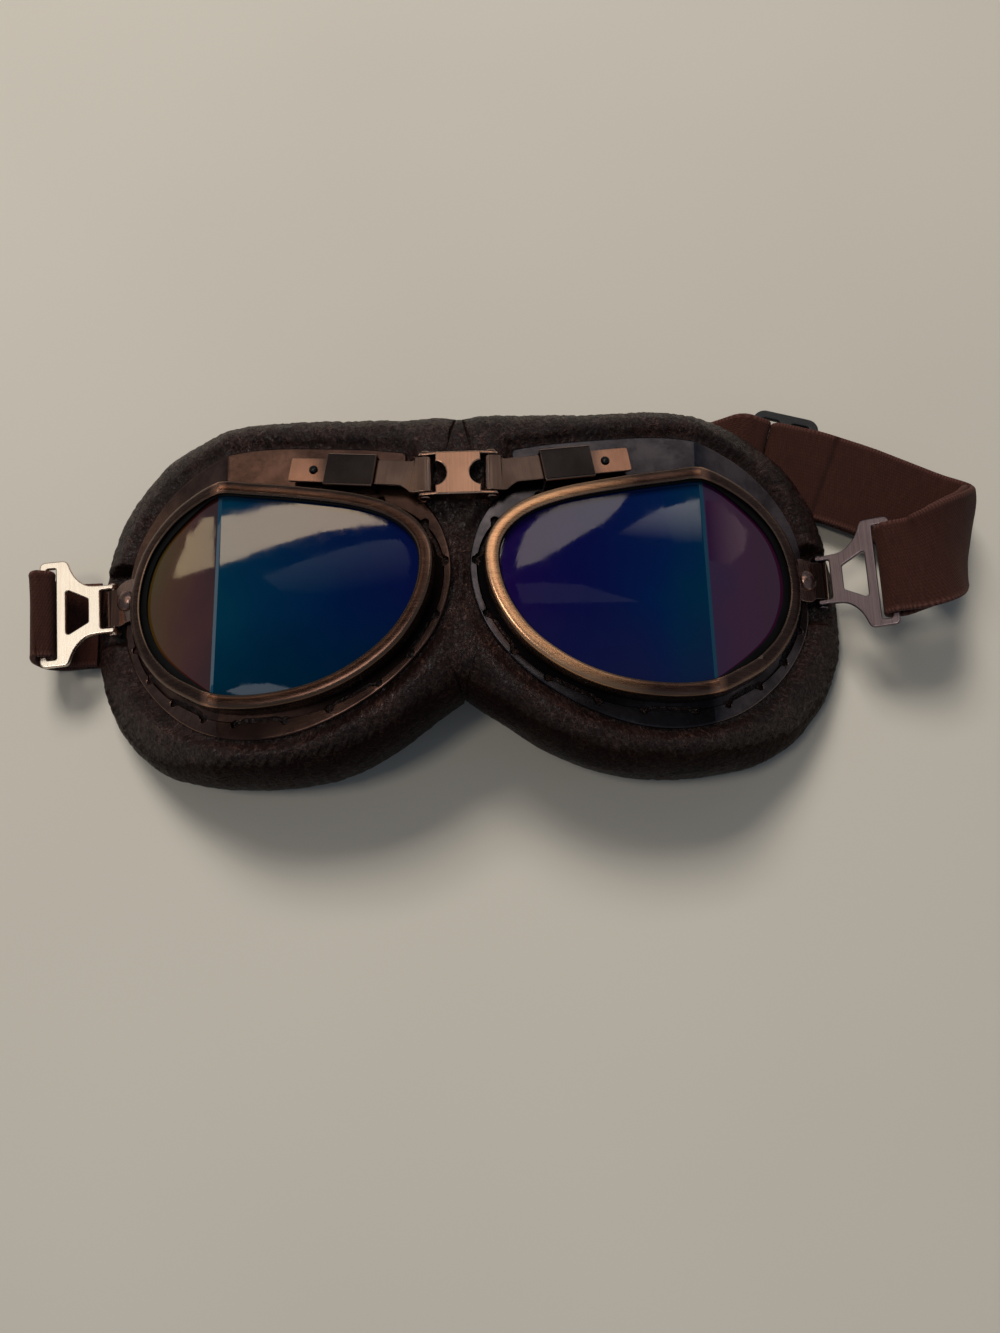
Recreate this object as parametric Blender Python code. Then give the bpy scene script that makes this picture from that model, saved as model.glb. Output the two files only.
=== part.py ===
"""Pilot goggles: two split-lens eye cups on a folding bridge, leather pads, strap clips and an elastic strap.

Axes: +X to the right, +Y towards the brow, +Z out through the lenses. The goggles lie on their pads
on the plane Z = 0. Lengths below are in millimetres and become metres when a mesh is made.
The eye on the +X side is drawn once and mirrored in X for the other side.
"""

import math

import bmesh
import bpy
import numpy as np
from mathutils import geometry

MM = 0.001

# ---- driving dimensions (mm) ---------------------------------------------------------------
ORIGIN_X, ORIGIN_Y = 10.76, 10.37  # middle of the whole outline, measured from the mirror plane

# Outer edge of the lens rim, from the nose round by the brow, temple and cheek.
RIM = [
    (6.0, 6.5), (8.0, 14.5), (14.5, 21.0), (25.0, 25.5), (40.0, 29.0), (52.0, 31.2),
    (60.0, 32.4), (68.0, 31.0), (76.5, 27.0), (83.5, 20.0), (87.0, 11.0), (87.0, 1.0),
    (83.0, -9.0), (76.0, -17.0), (67.5, -22.5), (60.0, -25.8), (49.0, -26.7),
    (36.0, -25.0), (24.5, -20.5), (14.5, -13.0), (8.2, -3.5),
]
# Outer edge of the stamped flange, from the top of the brow step round to its foot.
FLANGE = [
    (13.3, 38.4), (22.0, 40.2), (34.5, 41.9), (47.0, 43.2), (57.0, 43.2), (66.0, 41.6),
    (75.0, 38.0), (83.0, 31.8), (88.7, 23.5), (90.8, 14.0), (91.0, 0.0), (88.2, -9.0),
    (81.5, -18.3), (72.0, -26.4), (62.0, -31.3), (51.5, -33.0), (40.0, -31.7),
    (28.0, -27.2), (17.0, -20.3), (8.5, -11.5), (3.8, -2.5), (2.2, 7.0), (4.2, 17.0),
    (8.6, 24.6), (13.3, 29.6),
]
# Outer edge of the leather roll, from the brow to the nose notch.
ROLL = [
    (0.0, 50.6), (16.0, 51.3), (43.0, 53.9), (62.0, 53.7), (76.0, 50.0), (86.0, 43.2), (94.0, 33.0),
    (98.8, 21.0), (101.0, 9.0), (101.2, -2.0), (98.8, -13.0), (93.0, -24.5), (85.0, -33.3), (76.0, -38.8),
    (65.0, -41.4), (54.0, -42.4), (42.0, -41.8), (30.0, -39.4), (18.5, -34.6), (9.5, -28.6), (0.0, -22.6),
]
KINK_X = 60.6  # fold line of the bent lens and rim
RIM_Z, RIM_FRONT, RIM_SIDE = 38.4, 0.165, 0.60  # rim height at the fold, and its two slopes
FLANGE_Z, FLANGE_FRONT, FLANGE_SIDE = 31.2, 0.150, 0.57
SHEET = 1.0
RIM_LIP, RIM_WALL = 3.4, 1.2
LENS_T = 1.8
VENTS = [
    ((7.5, 20.0), (3.6, 8.5)), ((6.7, -4.6), (13.0, -13.7)), ((20.0, -21.0), (32.5, -26.5)),
    ((43.0, -29.0), (56.0, -29.5)), ((64.5, -27.5), (74.5, -22.0)), ((82.0, -14.0), (87.5, -5.0)),
    ((19.0, 28.0), (36.0, 31.5)), ((66.0, 35.0), (77.0, 30.5)),
]
VENT_OFFSET, VENT_W = 1.0, 1.2

HINGE_X, HINGE_Y, HINGE_Z = 8.1, 30.1, 41.6  # bridge pin
PIN_R = 0.8
ARM_PLAN, ARM_SLOPE = math.radians(9.2), -0.20
ARM_T, ARM_W, ARM_T_HEAD = 0.8, 6.5, 9.2
SLEEVE_L, SLEEVE_W = 13.0, 8.9
CLIP_X, CLIP_Y, CLIP_Z = 95.6, {"left": 7.6, "right": 9.4}, 11.4  # strap clip pin
RIVET = (90.4, 8.9)  # rivet of the temple bracket
CLIP_T, CLIP_LIFT = 1.4, 1.65  # plate thickness, and its middle above the pin
STRAP_W, STRAP_T = 25.0, 1.5
LEFT_TILT, RIGHT_TILT = 2.0, 25.0  # how the clips lie at rest, outer end up
LEFT_YAW, RIGHT_YAW = -5.0, 0.0  # play of the clips on their pins

COLOURS = {  # base colour, metallic, roughness
    "copper": ((0.42, 0.21, 0.13), 1.0, 0.32),
    "gunmetal": ((0.13, 0.09, 0.075), 1.0, 0.38),
    "clip_copper": ((0.72, 0.46, 0.36), 1.0, 0.28),
    "black_steel": ((0.02, 0.02, 0.02), 0.8, 0.3),
    "lens_blue": ((0.01, 0.05, 0.16), 0.9, 0.05),
    "rubber": ((0.012, 0.012, 0.012), 0.0, 0.6),
    "leather": ((0.055, 0.03, 0.026), 0.0, 0.45),
    "foam": ((0.05, 0.045, 0.045), 0.0, 0.95),
    "elastic": ((0.13, 0.06, 0.04), 0.0, 0.85),
    "black_plastic": ((0.015, 0.015, 0.017), 0.0, 0.4),
}


# ---- heights ---------------------------------------------------------------------------------
def rim_z(x):
    x = abs(x)
    return RIM_Z + RIM_FRONT * (KINK_X - x) if x <= KINK_X else RIM_Z - RIM_SIDE * (x - KINK_X)


def flange_z(x):
    x = abs(x)
    if x <= KINK_X:
        return FLANGE_Z + FLANGE_FRONT * (KINK_X - x)
    return FLANGE_Z - FLANGE_SIDE * (x - KINK_X)


def smooth(t):
    t = min(max(t, 0.0), 1.0)
    return t * t * (3.0 - 2.0 * t)


def pad_z(x, y):
    """Height of the pad's rear face: flat on the cheeks, lifted over the strap and arched over the nose."""
    arch = 13.0 * (1.0 - smooth(abs(x) / 46.0))
    lift = 2.4 * smooth((y + 27.0) / 17.0) + 4.6 * smooth((y - 8.0) / 22.0)
    return arch + lift + 2.4 * smooth((abs(x) - 70.0) / 12.0) * smooth((y - 24.0) / 9.0)


# ---- curves ----------------------------------------------------------------------------------
def spline(points, closed, steps=16):
    """A Catmull-Rom curve through the points."""
    p = np.array(points, float)
    n = len(p)
    out = []
    for i in range(n if closed else n - 1):
        a, b, c, d = (
            (p[(i - 1) % n], p[i], p[(i + 1) % n], p[(i + 2) % n])
            if closed
            else (p[max(i - 1, 0)], p[i], p[i + 1], p[min(i + 2, n - 1)])
        )
        for k in range(steps):
            t = k / steps
            out.append(
                0.5 * (2 * b + (c - a) * t + (2 * a - 5 * b + 4 * c - d) * t * t + (3 * b - a - 3 * c + d) * t**3)
            )
    if not closed:
        out.append(p[-1])
    return np.array(out)


def resample(curve, n, closed):
    """n points at equal spacing along a curve; an open one keeps both ends."""
    c = np.vstack([curve, curve[:1]]) if closed else curve
    s = np.concatenate([[0], np.cumsum(np.linalg.norm(np.diff(c, axis=0), axis=1))])
    want = np.linspace(0, s[-1], n + 1)[:-1] if closed else np.linspace(0, s[-1], n)
    return np.stack([np.interp(want, s, c[:, k]) for k in range(c.shape[1])], 1)


def kinked(curve):
    """Moves the nearest points onto the fold line, so that each panel stays flat."""
    c = curve.copy()
    for upper in (True, False):
        side = [i for i in range(len(c)) if (c[i, 1] > 5.0) == upper]
        i = min(side, key=lambda k: abs(c[k, 0] - KINK_X))
        c[i, 0] = KINK_X
    return c


def outward(curve):
    """Unit normals of a closed plane curve, pointing away from its inside."""
    t = np.roll(curve, -1, 0) - np.roll(curve, 1, 0)
    nrm = np.stack([t[:, 1], -t[:, 0]], 1)
    nrm /= np.linalg.norm(nrm, axis=1)[:, None]
    area = 0.5 * np.sum(curve[:, 0] * np.roll(curve[:, 1], -1) - np.roll(curve[:, 0], -1) * curve[:, 1])
    return nrm if area > 0 else -nrm


def inside(point, poly):
    x, y = point
    hit = False
    for i in range(len(poly)):
        (x0, y0), (x1, y1) = poly[i - 1], poly[i]
        if (y0 > y) != (y1 > y) and x < (x1 - x0) * (y - y0) / (y1 - y0) + x0:
            hit = not hit
    return hit


def unit(v):
    return np.asarray(v, float) / np.linalg.norm(v)


# ---- solids ----------------------------------------------------------------------------------
def fill(loops, links=()):
    """Triangles between the first loop and the others, which are holes in it."""
    points = [tuple(map(float, p)) for loop in loops for p in loop]
    edges, start = [], 0
    for loop in loops:
        edges += [(start + i, start + (i + 1) % len(loop)) for i in range(len(loop))]
        start += len(loop)
    edges += list(links)
    verts, _, faces, orig, _, _ = geometry.delaunay_2d_cdt(points, edges, [], 0, 1e-7)
    back = [o[0] for o in orig]
    keep = []
    for f in faces:
        mid = (sum(verts[i][0] for i in f) / 3, sum(verts[i][1] for i in f) / 3)
        if inside(mid, loops[0]) and not any(inside(mid, hole) for hole in loops[1:]):
            keep.append([back[i] for i in f])
    return keep


def plate(loops, place, t):
    """A flat sheet of thickness t with holes; place(x, y, z) puts its points in space."""
    flat = [p for loop in loops for p in loop]
    n = len(flat)
    caps = fill(loops)
    verts = [place(x, y, t / 2) for x, y in flat] + [place(x, y, -t / 2) for x, y in flat]
    faces = caps + [[i + n for i in f[::-1]] for f in caps]
    start = 0
    for loop in loops:
        for i in range(len(loop)):
            a, b = start + i, start + (i + 1) % len(loop)
            faces.append([a, b, b + n, a + n])
        start += len(loop)
    return verts, faces


def ring(curve, normals, section):
    """A closed ring whose section(i, x, y) gives its points as (offset outwards, height)."""
    verts, faces = [], []
    m = None
    for i in range(len(curve)):
        pts = section(i)
        m = len(pts)
        for u, z in pts:
            x, y = curve[i] + normals[i] * u
            verts.append((x, y, z(x) if callable(z) else z))
    n = len(curve)
    for i in range(n):
        j = (i + 1) % n
        for k in range(m):
            l = (k + 1) % m
            faces.append([i * m + k, j * m + k, j * m + l, i * m + l])
    return verts, faces


def loft(sections, closed_ends=True):
    """Joins closed sections of equal length into a tube with flat ends."""
    m = len(sections[0])
    verts = [p for s in sections for p in s]
    faces = []
    for i in range(len(sections) - 1):
        for k in range(m):
            l = (k + 1) % m
            faces.append([i * m + k, (i + 1) * m + k, (i + 1) * m + l, i * m + l])
    if closed_ends:
        faces.append(list(range(m))[::-1])
        faces.append([(len(sections) - 1) * m + k for k in range(m)])
    return verts, faces


def sleeve_loft(outer, inner):
    """A pipe with open ends between two lofts of equal length."""
    m, n = len(outer[0]), len(outer)
    verts = [p for s in outer for p in s] + [p for s in inner for p in s]
    off = m * n
    faces = []
    for i in range(n - 1):
        for k in range(m):
            l = (k + 1) % m
            faces.append([i * m + k, (i + 1) * m + k, (i + 1) * m + l, i * m + l])
            faces.append([off + i * m + l, off + (i + 1) * m + l, off + (i + 1) * m + k, off + i * m + k])
    for i in (0, n - 1):
        for k in range(m):
            l = (k + 1) % m
            faces.append([i * m + k, i * m + l, off + i * m + l, off + i * m + k])
    return verts, faces


def ribbon(centres, widths, half, t):
    """A flat band of thickness t along a line of points, with a width direction and half width at each."""
    c = np.array(centres, float)
    w = np.array(widths, float)
    h = np.full(len(c), half, float) if np.isscalar(half) else np.array(half, float)
    tan = np.gradient(c, axis=0)
    sections = []
    for i in range(len(c)):
        d = unit(tan[i])
        side = unit(w[i] - d * np.dot(w[i], d))
        up = np.cross(d, side)
        sections.append(
            [c[i] + side * a * h[i] + up * b * t / 2 for a, b in ((-1, -1), (1, -1), (1, 1), (-1, 1))]
        )
    return loft(sections)


def turned(centre, axis, profile, n=12):
    """A solid of revolution: profile is (radius, height) from one pole to the other."""
    axis = unit(axis)
    a = unit(np.cross(axis, (0.0, 1.0, 0.0) if abs(axis[1]) < 0.9 else (1.0, 0.0, 0.0)))
    b = np.cross(axis, a)
    c = np.array(centre, float)
    verts, rows = [], []
    for r, h in profile:
        if r < 1e-9:
            rows.append([len(verts)])
            verts.append(c + axis * h)
        else:
            rows.append(list(range(len(verts), len(verts) + n)))
            verts += [
                c + axis * h + r * (a * math.cos(2 * math.pi * k / n) + b * math.sin(2 * math.pi * k / n))
                for k in range(n)
            ]
    faces = []
    for low, high in zip(rows, rows[1:]):
        for k in range(n):
            l = (k + 1) % n
            if len(low) == 1:
                faces.append([low[0], high[k], high[l]])
            elif len(high) == 1:
                faces.append([low[k], low[l], high[0]])
            else:
                faces.append([low[k], low[l], high[l], high[k]])
    for row, turn in ((rows[0], -1), (rows[-1], 1)):
        if len(row) > 1:
            faces.append(row[::turn])
    return verts, faces


def arc(cx, cy, r, a0, a1, n):
    return [
        (cx + r * math.cos(math.radians(a)), cy + r * math.sin(math.radians(a)))
        for a in np.linspace(a0, a1, n)
    ]


# ---- scene helpers ---------------------------------------------------------------------------
for old in list(bpy.data.objects):
    bpy.data.objects.remove(old, do_unlink=True)

MATERIALS = {}
for key, (colour, metallic, rough) in COLOURS.items():
    mat = bpy.data.materials.new(key)
    mat.use_nodes = True
    shader = mat.node_tree.nodes["Principled BSDF"]
    shader.inputs["Base Color"].default_value = (*colour, 1.0)
    shader.inputs["Metallic"].default_value = metallic
    shader.inputs["Roughness"].default_value = rough
    mat.diffuse_color = (*colour, 1.0)
    MATERIALS[key] = mat

PIVOTS = {}
EMPTIES = {}


def body(name, pivot, parent=None):
    """An empty on a body's joint axis, which the body's pieces hang from."""
    empty = bpy.data.objects.new("axis_" + name, None)
    empty.empty_display_size = 0.006
    bpy.context.scene.collection.objects.link(empty)
    if parent:
        empty.parent = EMPTIES[parent]
        empty.location = [(a - b) * MM for a, b in zip(pivot, PIVOTS[parent])]
    else:
        empty.location = [(pivot[0] - ORIGIN_X) * MM, (pivot[1] - ORIGIN_Y) * MM, pivot[2] * MM]
    PIVOTS[name], EMPTIES[name] = pivot, empty


def add(name, shape, material, owner, left=False, flat=False, helper=False):
    verts, faces = shape
    pivot = np.array(PIVOTS[owner], float)
    v = np.array([list(p) for p in verts], float)
    if left:
        v[:, 0] *= -1.0
    bm = bmesh.new()
    made = [bm.verts.new((p - pivot) * MM) for p in v]
    for f in faces:
        bm.faces.new([made[i] for i in f])
    bmesh.ops.recalc_face_normals(bm, faces=bm.faces)
    if bm.calc_volume(signed=True) < 0:
        bmesh.ops.reverse_faces(bm, faces=bm.faces)
    mesh = bpy.data.meshes.new(name)
    bm.to_mesh(mesh)
    bm.free()
    if not flat:
        mesh.shade_smooth()
        mesh.set_sharp_from_angle(angle=math.radians(35))
    obj = bpy.data.objects.new(name, mesh)
    bpy.context.scene.collection.objects.link(obj)
    obj.parent = EMPTIES[owner]
    if helper:
        obj.hide_render = True
        obj.display_type = "WIRE"
    else:
        mesh.materials.append(MATERIALS[material])
    return obj


def combine(target, other, operation):
    """Cuts another solid from an object, or joins it on; the other stays in the file as a guide."""
    m = target.modifiers.new(operation.lower() + "_" + other.name, "BOOLEAN")
    m.operation = operation
    m.object = other
    m.solver = "EXACT"


# ---- bodies ----------------------------------------------------------------------------------
body("bridge", (0.0, HINGE_Y, HINGE_Z))
for side, s in (("left", -1.0), ("right", 1.0)):
    body(side + "_arm", (s * HINGE_X, HINGE_Y, HINGE_Z), "bridge")
    body(side + "_eye", (s * 27.0, 32.8, 38.0), side + "_arm")
    body(side + "_clip", (s * CLIP_X, CLIP_Y[side], CLIP_Z), side + "_eye")
SLIDER_C = (88.4, 46.2, 5.4)
body("strap_slider", SLIDER_C, "right_eye")

# ---- outlines --------------------------------------------------------------------------------
rim = kinked(resample(spline(RIM, True), 52, True))
rim_n = outward(rim)
for i in np.flatnonzero(np.abs(rim[:, 0] - KINK_X) < 1e-6):
    rim_n[i] = (0.0, 1.0 / rim_n[i, 1])  # keeps the fold in one plane
flange = kinked(resample(spline(FLANGE, False), 58, False))
tab_at = int(np.argmin(np.hypot(flange[:, 0] - 91.0, flange[:, 1] - RIVET[1])))
lug = [(91.0, RIVET[1] + 5.0), (92.6, RIVET[1] + 4.4), (92.6, RIVET[1] - 4.4), (91.0, RIVET[1] - 5.0)]
clear = [i for i in range(len(flange)) if not (flange[i, 0] > 88.0 and abs(flange[i, 1] - RIVET[1]) < 6.2)]
first = max(i for i in clear if i < tab_at)
flange = np.vstack([flange[: first + 1], lug, flange[[i for i in clear if i > first]]])


def vent(p, q):
    """A slot with round ends that follows the rim at a constant distance."""
    i = int(np.argmin(np.hypot(*(fine - p).T)))
    j = int(np.argmin(np.hypot(*(fine - q).T)))
    n = len(fine)
    if (j - i) % n > n // 2:
        i, j = j, i
    idx = [(i + int(round(k * ((j - i) % n) / 4))) % n for k in range(5)]
    mid = [fine[k] + fine_n[k] * VENT_OFFSET for k in idx]
    nrm = [fine_n[k] for k in idx]
    h = VENT_W / 2
    out = [m + v * h for m, v in zip(mid, nrm)]
    back = [m - v * h for m, v in zip(mid, nrm)]
    t1 = unit(mid[-1] - mid[-2]) * h * 1.5
    t0 = unit(mid[0] - mid[1]) * h * 1.5
    return [tuple(p) for p in out + [mid[-1] + t1 + nrm[-1] * h * 0.9, mid[-1] + t1 - nrm[-1] * h * 0.9]
            + back[::-1] + [mid[0] + t0 - nrm[0] * h * 0.9, mid[0] + t0 + nrm[0] * h * 0.9]]


fine = resample(spline(RIM, True), 400, True)
fine_n = outward(fine)
vents = [vent(np.array(p), np.array(q)) for p, q in VENTS]


def cup():
    """Stamped frame: a sloped flange with vents and a collar that the rim fits over."""
    collar = rim + rim_n * -1.5
    inner = rim + rim_n * -2.5
    hole = arc(RIVET[0], RIVET[1], 1.15, 0, 330, 12)
    loops = [flange, collar] + vents + [hole]
    flat = [tuple(p) for loop in loops for p in loop]
    n = len(flat)
    nf, nc = len(flange), len(collar)
    links = []
    for up in (True, False):
        a = min((i for i in range(nf) if (flange[i, 1] > 5) == up), key=lambda k: abs(flange[k, 0] - KINK_X))
        b = min((i for i in range(nc) if (collar[i, 1] > 5) == up), key=lambda k: abs(collar[k, 0] - KINK_X))
        links.append((a, nf + b))
    caps = fill(loops, links)
    low = [tuple(p) for p in flange] + [tuple(p) for p in inner] + [tuple(p) for loop in loops[2:] for p in loop]
    verts = [(x, y, flange_z(x)) for x, y in flat]
    verts += [(x, y, flange_z(x) - SHEET) for x, y in low]
    faces = [list(f) for f in caps] + [[i + n for i in f[::-1]] for f in caps]
    start = 0
    for which, loop in enumerate(loops):
        if which != 1:
            for i in range(len(loop)):
                a, b = start + i, start + (i + 1) % len(loop)
                faces.append([a, b, b + n, a + n])
        start += len(loop)
    top = len(verts)
    verts += [(x, y, rim_z(x) - 5.4) for x, y in collar]
    verts += [(x, y, rim_z(x) - 5.4) for x, y in inner]
    for i in range(nc):
        j = (i + 1) % nc
        faces.append([nf + i, nf + j, top + j, top + i])
        faces.append([top + i, top + j, top + nc + j, top + nc + i])
        faces.append([top + nc + i, top + nc + j, n + nf + j, n + nf + i])
    return verts, faces


def lens_rim():
    def section(i):
        return [
            (-RIM_LIP, lambda x: rim_z(x) - 0.1), (-0.5, rim_z), (0.0, lambda x: rim_z(x) - 0.6),
            (0.0, lambda x: flange_z(x) + 0.4), (-RIM_WALL, lambda x: flange_z(x) + 0.4),
            (-RIM_WALL, lambda x: rim_z(x) - 1.0), (-RIM_LIP, lambda x: rim_z(x) - 1.0),
        ]

    return ring(rim, rim_n, section)


def gasket():
    def section(i):
        g = 3.7 + 1.6 * smooth((rim[i, 0] - KINK_X) / 16.0)
        return [
            (-1.5, lambda x: rim_z(x) - 1.4), (-1.5, lambda x: rim_z(x) - 5.0),
            (-3.6, lambda x: rim_z(x) - 5.0), (-3.6, lambda x: rim_z(x) - 4.45),
            (-2.0, lambda x: rim_z(x) - 4.45), (-2.0, lambda x: rim_z(x) - 1.95),
            (-g, lambda x: rim_z(x) - 1.95), (-g, lambda x: rim_z(x) - 1.4),
        ]

    return ring(rim, rim_n, section)


def lens():
    """One sheet, folded along a straight line into a front and a side panel."""
    edge = rim + rim_n * -2.4
    n = len(edge)
    a, b = sorted(i for i in range(n) if abs(rim[i, 0] - KINK_X) < 1e-6)
    verts = [(x, y, rim_z(x) - 2.3) for x, y in edge] + [(x, y, rim_z(x) - 2.3 - LENS_T) for x, y in edge]
    one = list(range(a, b + 1))
    two = list(range(b, n)) + list(range(0, a + 1))
    faces = [one, two, [i + n for i in one[::-1]], [i + n for i in two[::-1]]]
    faces += [[i, i + n, (i + 1) % n + n, (i + 1) % n] for i in range(n)]
    return verts, faces


# ---- leather roll ----------------------------------------------------------------------------
PAD_CUT = 12.0


def cut_at(curve, x, upper):
    """Splits an open or closed curve where it crosses a plane of constant X; returns that crossing's Y."""
    best = []
    for i in range(len(curve) - 1):
        (x0, y0), (x1, y1) = curve[i], curve[i + 1]
        if (x0 - x) * (x1 - x) <= 0 and x0 != x1:
            best.append(y0 + (y1 - y0) * (x - x0) / (x1 - x0))
    return max(best) if upper else min(best)


def part_of(curve, x, closed):
    """The stretch of a curve beyond a plane of constant X, from its brow end to its cheek end."""
    c = np.vstack([curve, curve[:1]]) if closed else curve
    top, bottom = cut_at(c, x, True), cut_at(c, x, False)
    keep = [p for p in curve if p[0] > x + 0.2]
    start = next(i for i, p in enumerate(curve) if p[0] > x + 0.2)
    keep = [p for p in curve[start:] if p[0] > x + 0.2]
    return np.vstack([[(x, top)], keep, [(x, bottom)]])


def under(x, y):
    """Highest level of the pad below the flange, the temple bracket and the clip pin."""
    dip = smooth((x - 89.5) / 3.0) * smooth((12.0 - abs(y - 8.5)) / 3.0)
    return (flange_z(x) - SHEET - 0.6) * (1.0 - dip) + min(flange_z(x) - SHEET - 0.6, 8.5) * dip


PAD_INWARD = [  # which way each corner of a pad section moves when the section is drawn smaller
    (-1.0, 0.0), (-0.8, -0.5), (-0.3, -1.0), (0.0, -1.0), (0.0, -1.0), (0.6, -1.0),
    (1.0, -0.4), (1.0, 0.4), (0.5, 1.0), (0.0, 1.0), (-0.3, 1.0), (-0.8, 0.6),
]


def pad_sections(inset, count=40):
    """Closed sections of the pad from the brow round the temple to the cheek, moved in by inset."""
    wall = resample(part_of(fine + fine_n * -3.2, PAD_CUT, False), count, False)
    edge = resample(part_of(spline(ROLL, False), PAD_CUT, False), count, False)
    out = []
    for k in range(count):
        p, q = wall[k], edge[k]
        across = np.linalg.norm(q - p)
        d = (q - p) / across
        zb, zi = pad_z(*q), pad_z(*p)

        def top(u):
            v = p + d * u
            return under(*v)

        roll = min(across - 3.0, 9.5)
        crown = top(across - roll)
        rise = crown - zb
        shoulder = min(zb + 0.9 * rise, top(across - 3.6))
        mid = zb + 0.5 * min(rise, 2.0 * (min(top(across - 0.6), crown) - zb) / 1.5)
        poly = [
            (across, mid), (across - 1.0, mid + 0.55 * (shoulder - mid)), (across - 3.6, shoulder),
            (across - roll, crown), (0.5 * (across - roll), top(0.5 * (across - roll)) - 0.5), (0.6, top(0.6)),
            (0.0, top(0.0) - 1.2), (0.0, zi + 1.6), (1.4, zi), (across - 7.5, zb), (across - 3.2, zb),
            (across - 1.0, zb + 0.35 * (mid - zb)),
        ]
        poly = np.array(poly) + np.array(PAD_INWARD) * inset
        if inset > 1.0:  # the core lies loose under the dents of the roll
            poly[2:7, 1] -= 0.7
            poly[[0, 1, 2, 3, 9, 10, 11], 0] -= 0.9
        out.append([(p[0] + d[0] * u, p[1] + d[1] * u, z) for u, z in poly])
    # The two ends are flat and stand in the plane of the cut.
    for s in (0, -1):
        out[s] = [(PAD_CUT + (0.6 if inset > 1.0 else 0.0), y, z) for _, y, z in out[s]]
    return out


def centre_pad():
    """Pad between the eyes: the bar under the bridge and the ridge down to the nose notch."""
    sections = []
    rows = [  # y, half width, rear, front, how far the sides fall behind the middle
        (50.4, 11.7, 25.0, 31.0, 0.0), (48.6, 11.7, 22.6, 34.5, 0.0), (44.5, 11.7, 21.0, 36.2, 0.0),
        (38.5, 11.7, 21.0, 36.8, 0.0), (31.0, 11.7, 20.6, 37.0, 0.0), (26.0, 8.4, 19.6, 37.4, 0.0),
        (14.0, 7.6, 17.6, 37.7, 0.0), (4.0, 7.4, 16.0, 37.7, 0.0), (-6.0, 8.4, 14.6, 37.4, 0.0),
        (-11.0, 11.7, 13.8, 37.0, 0.2), (-16.0, 11.7, 13.4, 36.2, 0.45), (-20.6, 11.7, 14.0, 33.8, 0.68),
    ]
    for y, h, zb, zt, k in rows:
        b = min(1.6, (zt - zb) * 0.25)
        ring_xz = [
            (-h, zb + b), (-h + b, zb), (0.0, zb), (h - b, zb), (h, zb + b),
            (h, zt - b), (h - b, zt), (0.0, zt + 0.3), (-h + b, zt), (-h, zt - b),
        ]
        sections.append([(x, y - k * abs(x), z) for x, z in ring_xz])
    verts, faces = loft(sections)
    last = 10 * (len(rows) - 1)
    return verts, faces[:-1] + [[last + i for i in (7, 8, 9, 0, 1, 2)], [last + i for i in (2, 3, 4, 5, 6, 7)]]


# ---- bridge ----------------------------------------------------------------------------------
def bridge_top():
    """Waisted plate between the two hinge pins."""
    w, h, r, cx = 5.5, 5.6, 3.2, 6.0
    edge = [(w, -h)]
    for ang in np.linspace(260.0, 100.0, 9):
        edge.append((cx + r * math.cos(math.radians(ang)), r * math.sin(math.radians(ang))))
    edge += [(w, h), (-w, h)]
    for ang in np.linspace(80.0, -80.0, 9):
        edge.append((-cx + r * math.cos(math.radians(ang)), r * math.sin(math.radians(ang))))
    edge += [(-w, -h)]
    return plate([edge], lambda x, y, z: (x, HINGE_Y + y, HINGE_Z + 1.75 + z), 0.9)


def bridge_cheek(sign):
    """Side wall of the bridge with an eye for each pin."""
    loop = arc(HINGE_X, 0.0, 2.0, -90, 55, 8) + [(5.5, 2.15), (-5.5, 2.15)] + arc(-HINGE_X, 0.0, 2.0, 125, 270, 8)
    eyes = [arc(s * HINGE_X, 0.0, PIN_R + 0.3, 0, 330, 12) for s in (-1, 1)]
    return plate([loop] + eyes, lambda x, z, y: (x, HINGE_Y + sign * 5.3 + y, HINGE_Z + z), 0.7)


def bridge_pin():
    r, l = PIN_R, 5.95
    return turned(
        (HINGE_X, HINGE_Y, HINGE_Z), (0, 1, 0),
        [(1.0, -l - 0.4), (1.5, -l - 0.2), (1.5, -l), (r, -l), (r, l), (1.5, l), (1.5, l + 0.2), (1.0, l + 0.4)], 12,
    )


ARM_E1 = unit((math.cos(ARM_PLAN), math.sin(ARM_PLAN), ARM_SLOPE))
ARM_E2 = np.array([-math.sin(ARM_PLAN), math.cos(ARM_PLAN), 0.0])
ARM_E3 = np.cross(ARM_E1, ARM_E2)
ARM_MID = 1.45  # radius of the knuckle's middle line
ARM_0 = np.array([HINGE_X, HINGE_Y, HINGE_Z]) + ARM_MID * np.array([ARM_E3[0], 0.0, ARM_E3[2]])


def arm_at(along, across=0.0, up=0.0):
    return ARM_0 + ARM_E1 * along + ARM_E2 * across + ARM_E3 * up


def arm():
    """Strip with a tab at its outer end and a knuckle that wraps the bridge pin."""
    centres, widths, half = [], [], []
    for along, h in ((35.6, ARM_W / 2), (24.0, ARM_W / 2), (12.0, ARM_W / 2), (5.4, ARM_W / 2), (4.2, 3.6), (3.3, 4.3), (2.6, ARM_T_HEAD / 2)):
        c = arm_at(along)
        if along < 5.0:
            c[1] = HINGE_Y + 0.1 * (along - 2.6)
        centres.append(c)
        widths.append(ARM_E2 if along > 5.0 else (0.0, 1.0, 0.0))
        half.append(h)
    start = math.degrees(math.atan2(ARM_E3[2], ARM_E3[0]))
    for a in np.linspace(start, start + 250.0, 15):
        centres.append(
            (HINGE_X + ARM_MID * math.cos(math.radians(a)), HINGE_Y, HINGE_Z + ARM_MID * math.sin(math.radians(a)))
        )
        widths.append((0.0, 1.0, 0.0))
        half.append(ARM_T_HEAD / 2)
    return ribbon(centres, widths, half, ARM_T)


SCREW = 29.2  # distance of the set screw along the arm
SLEEVE_0 = 12.6


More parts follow.
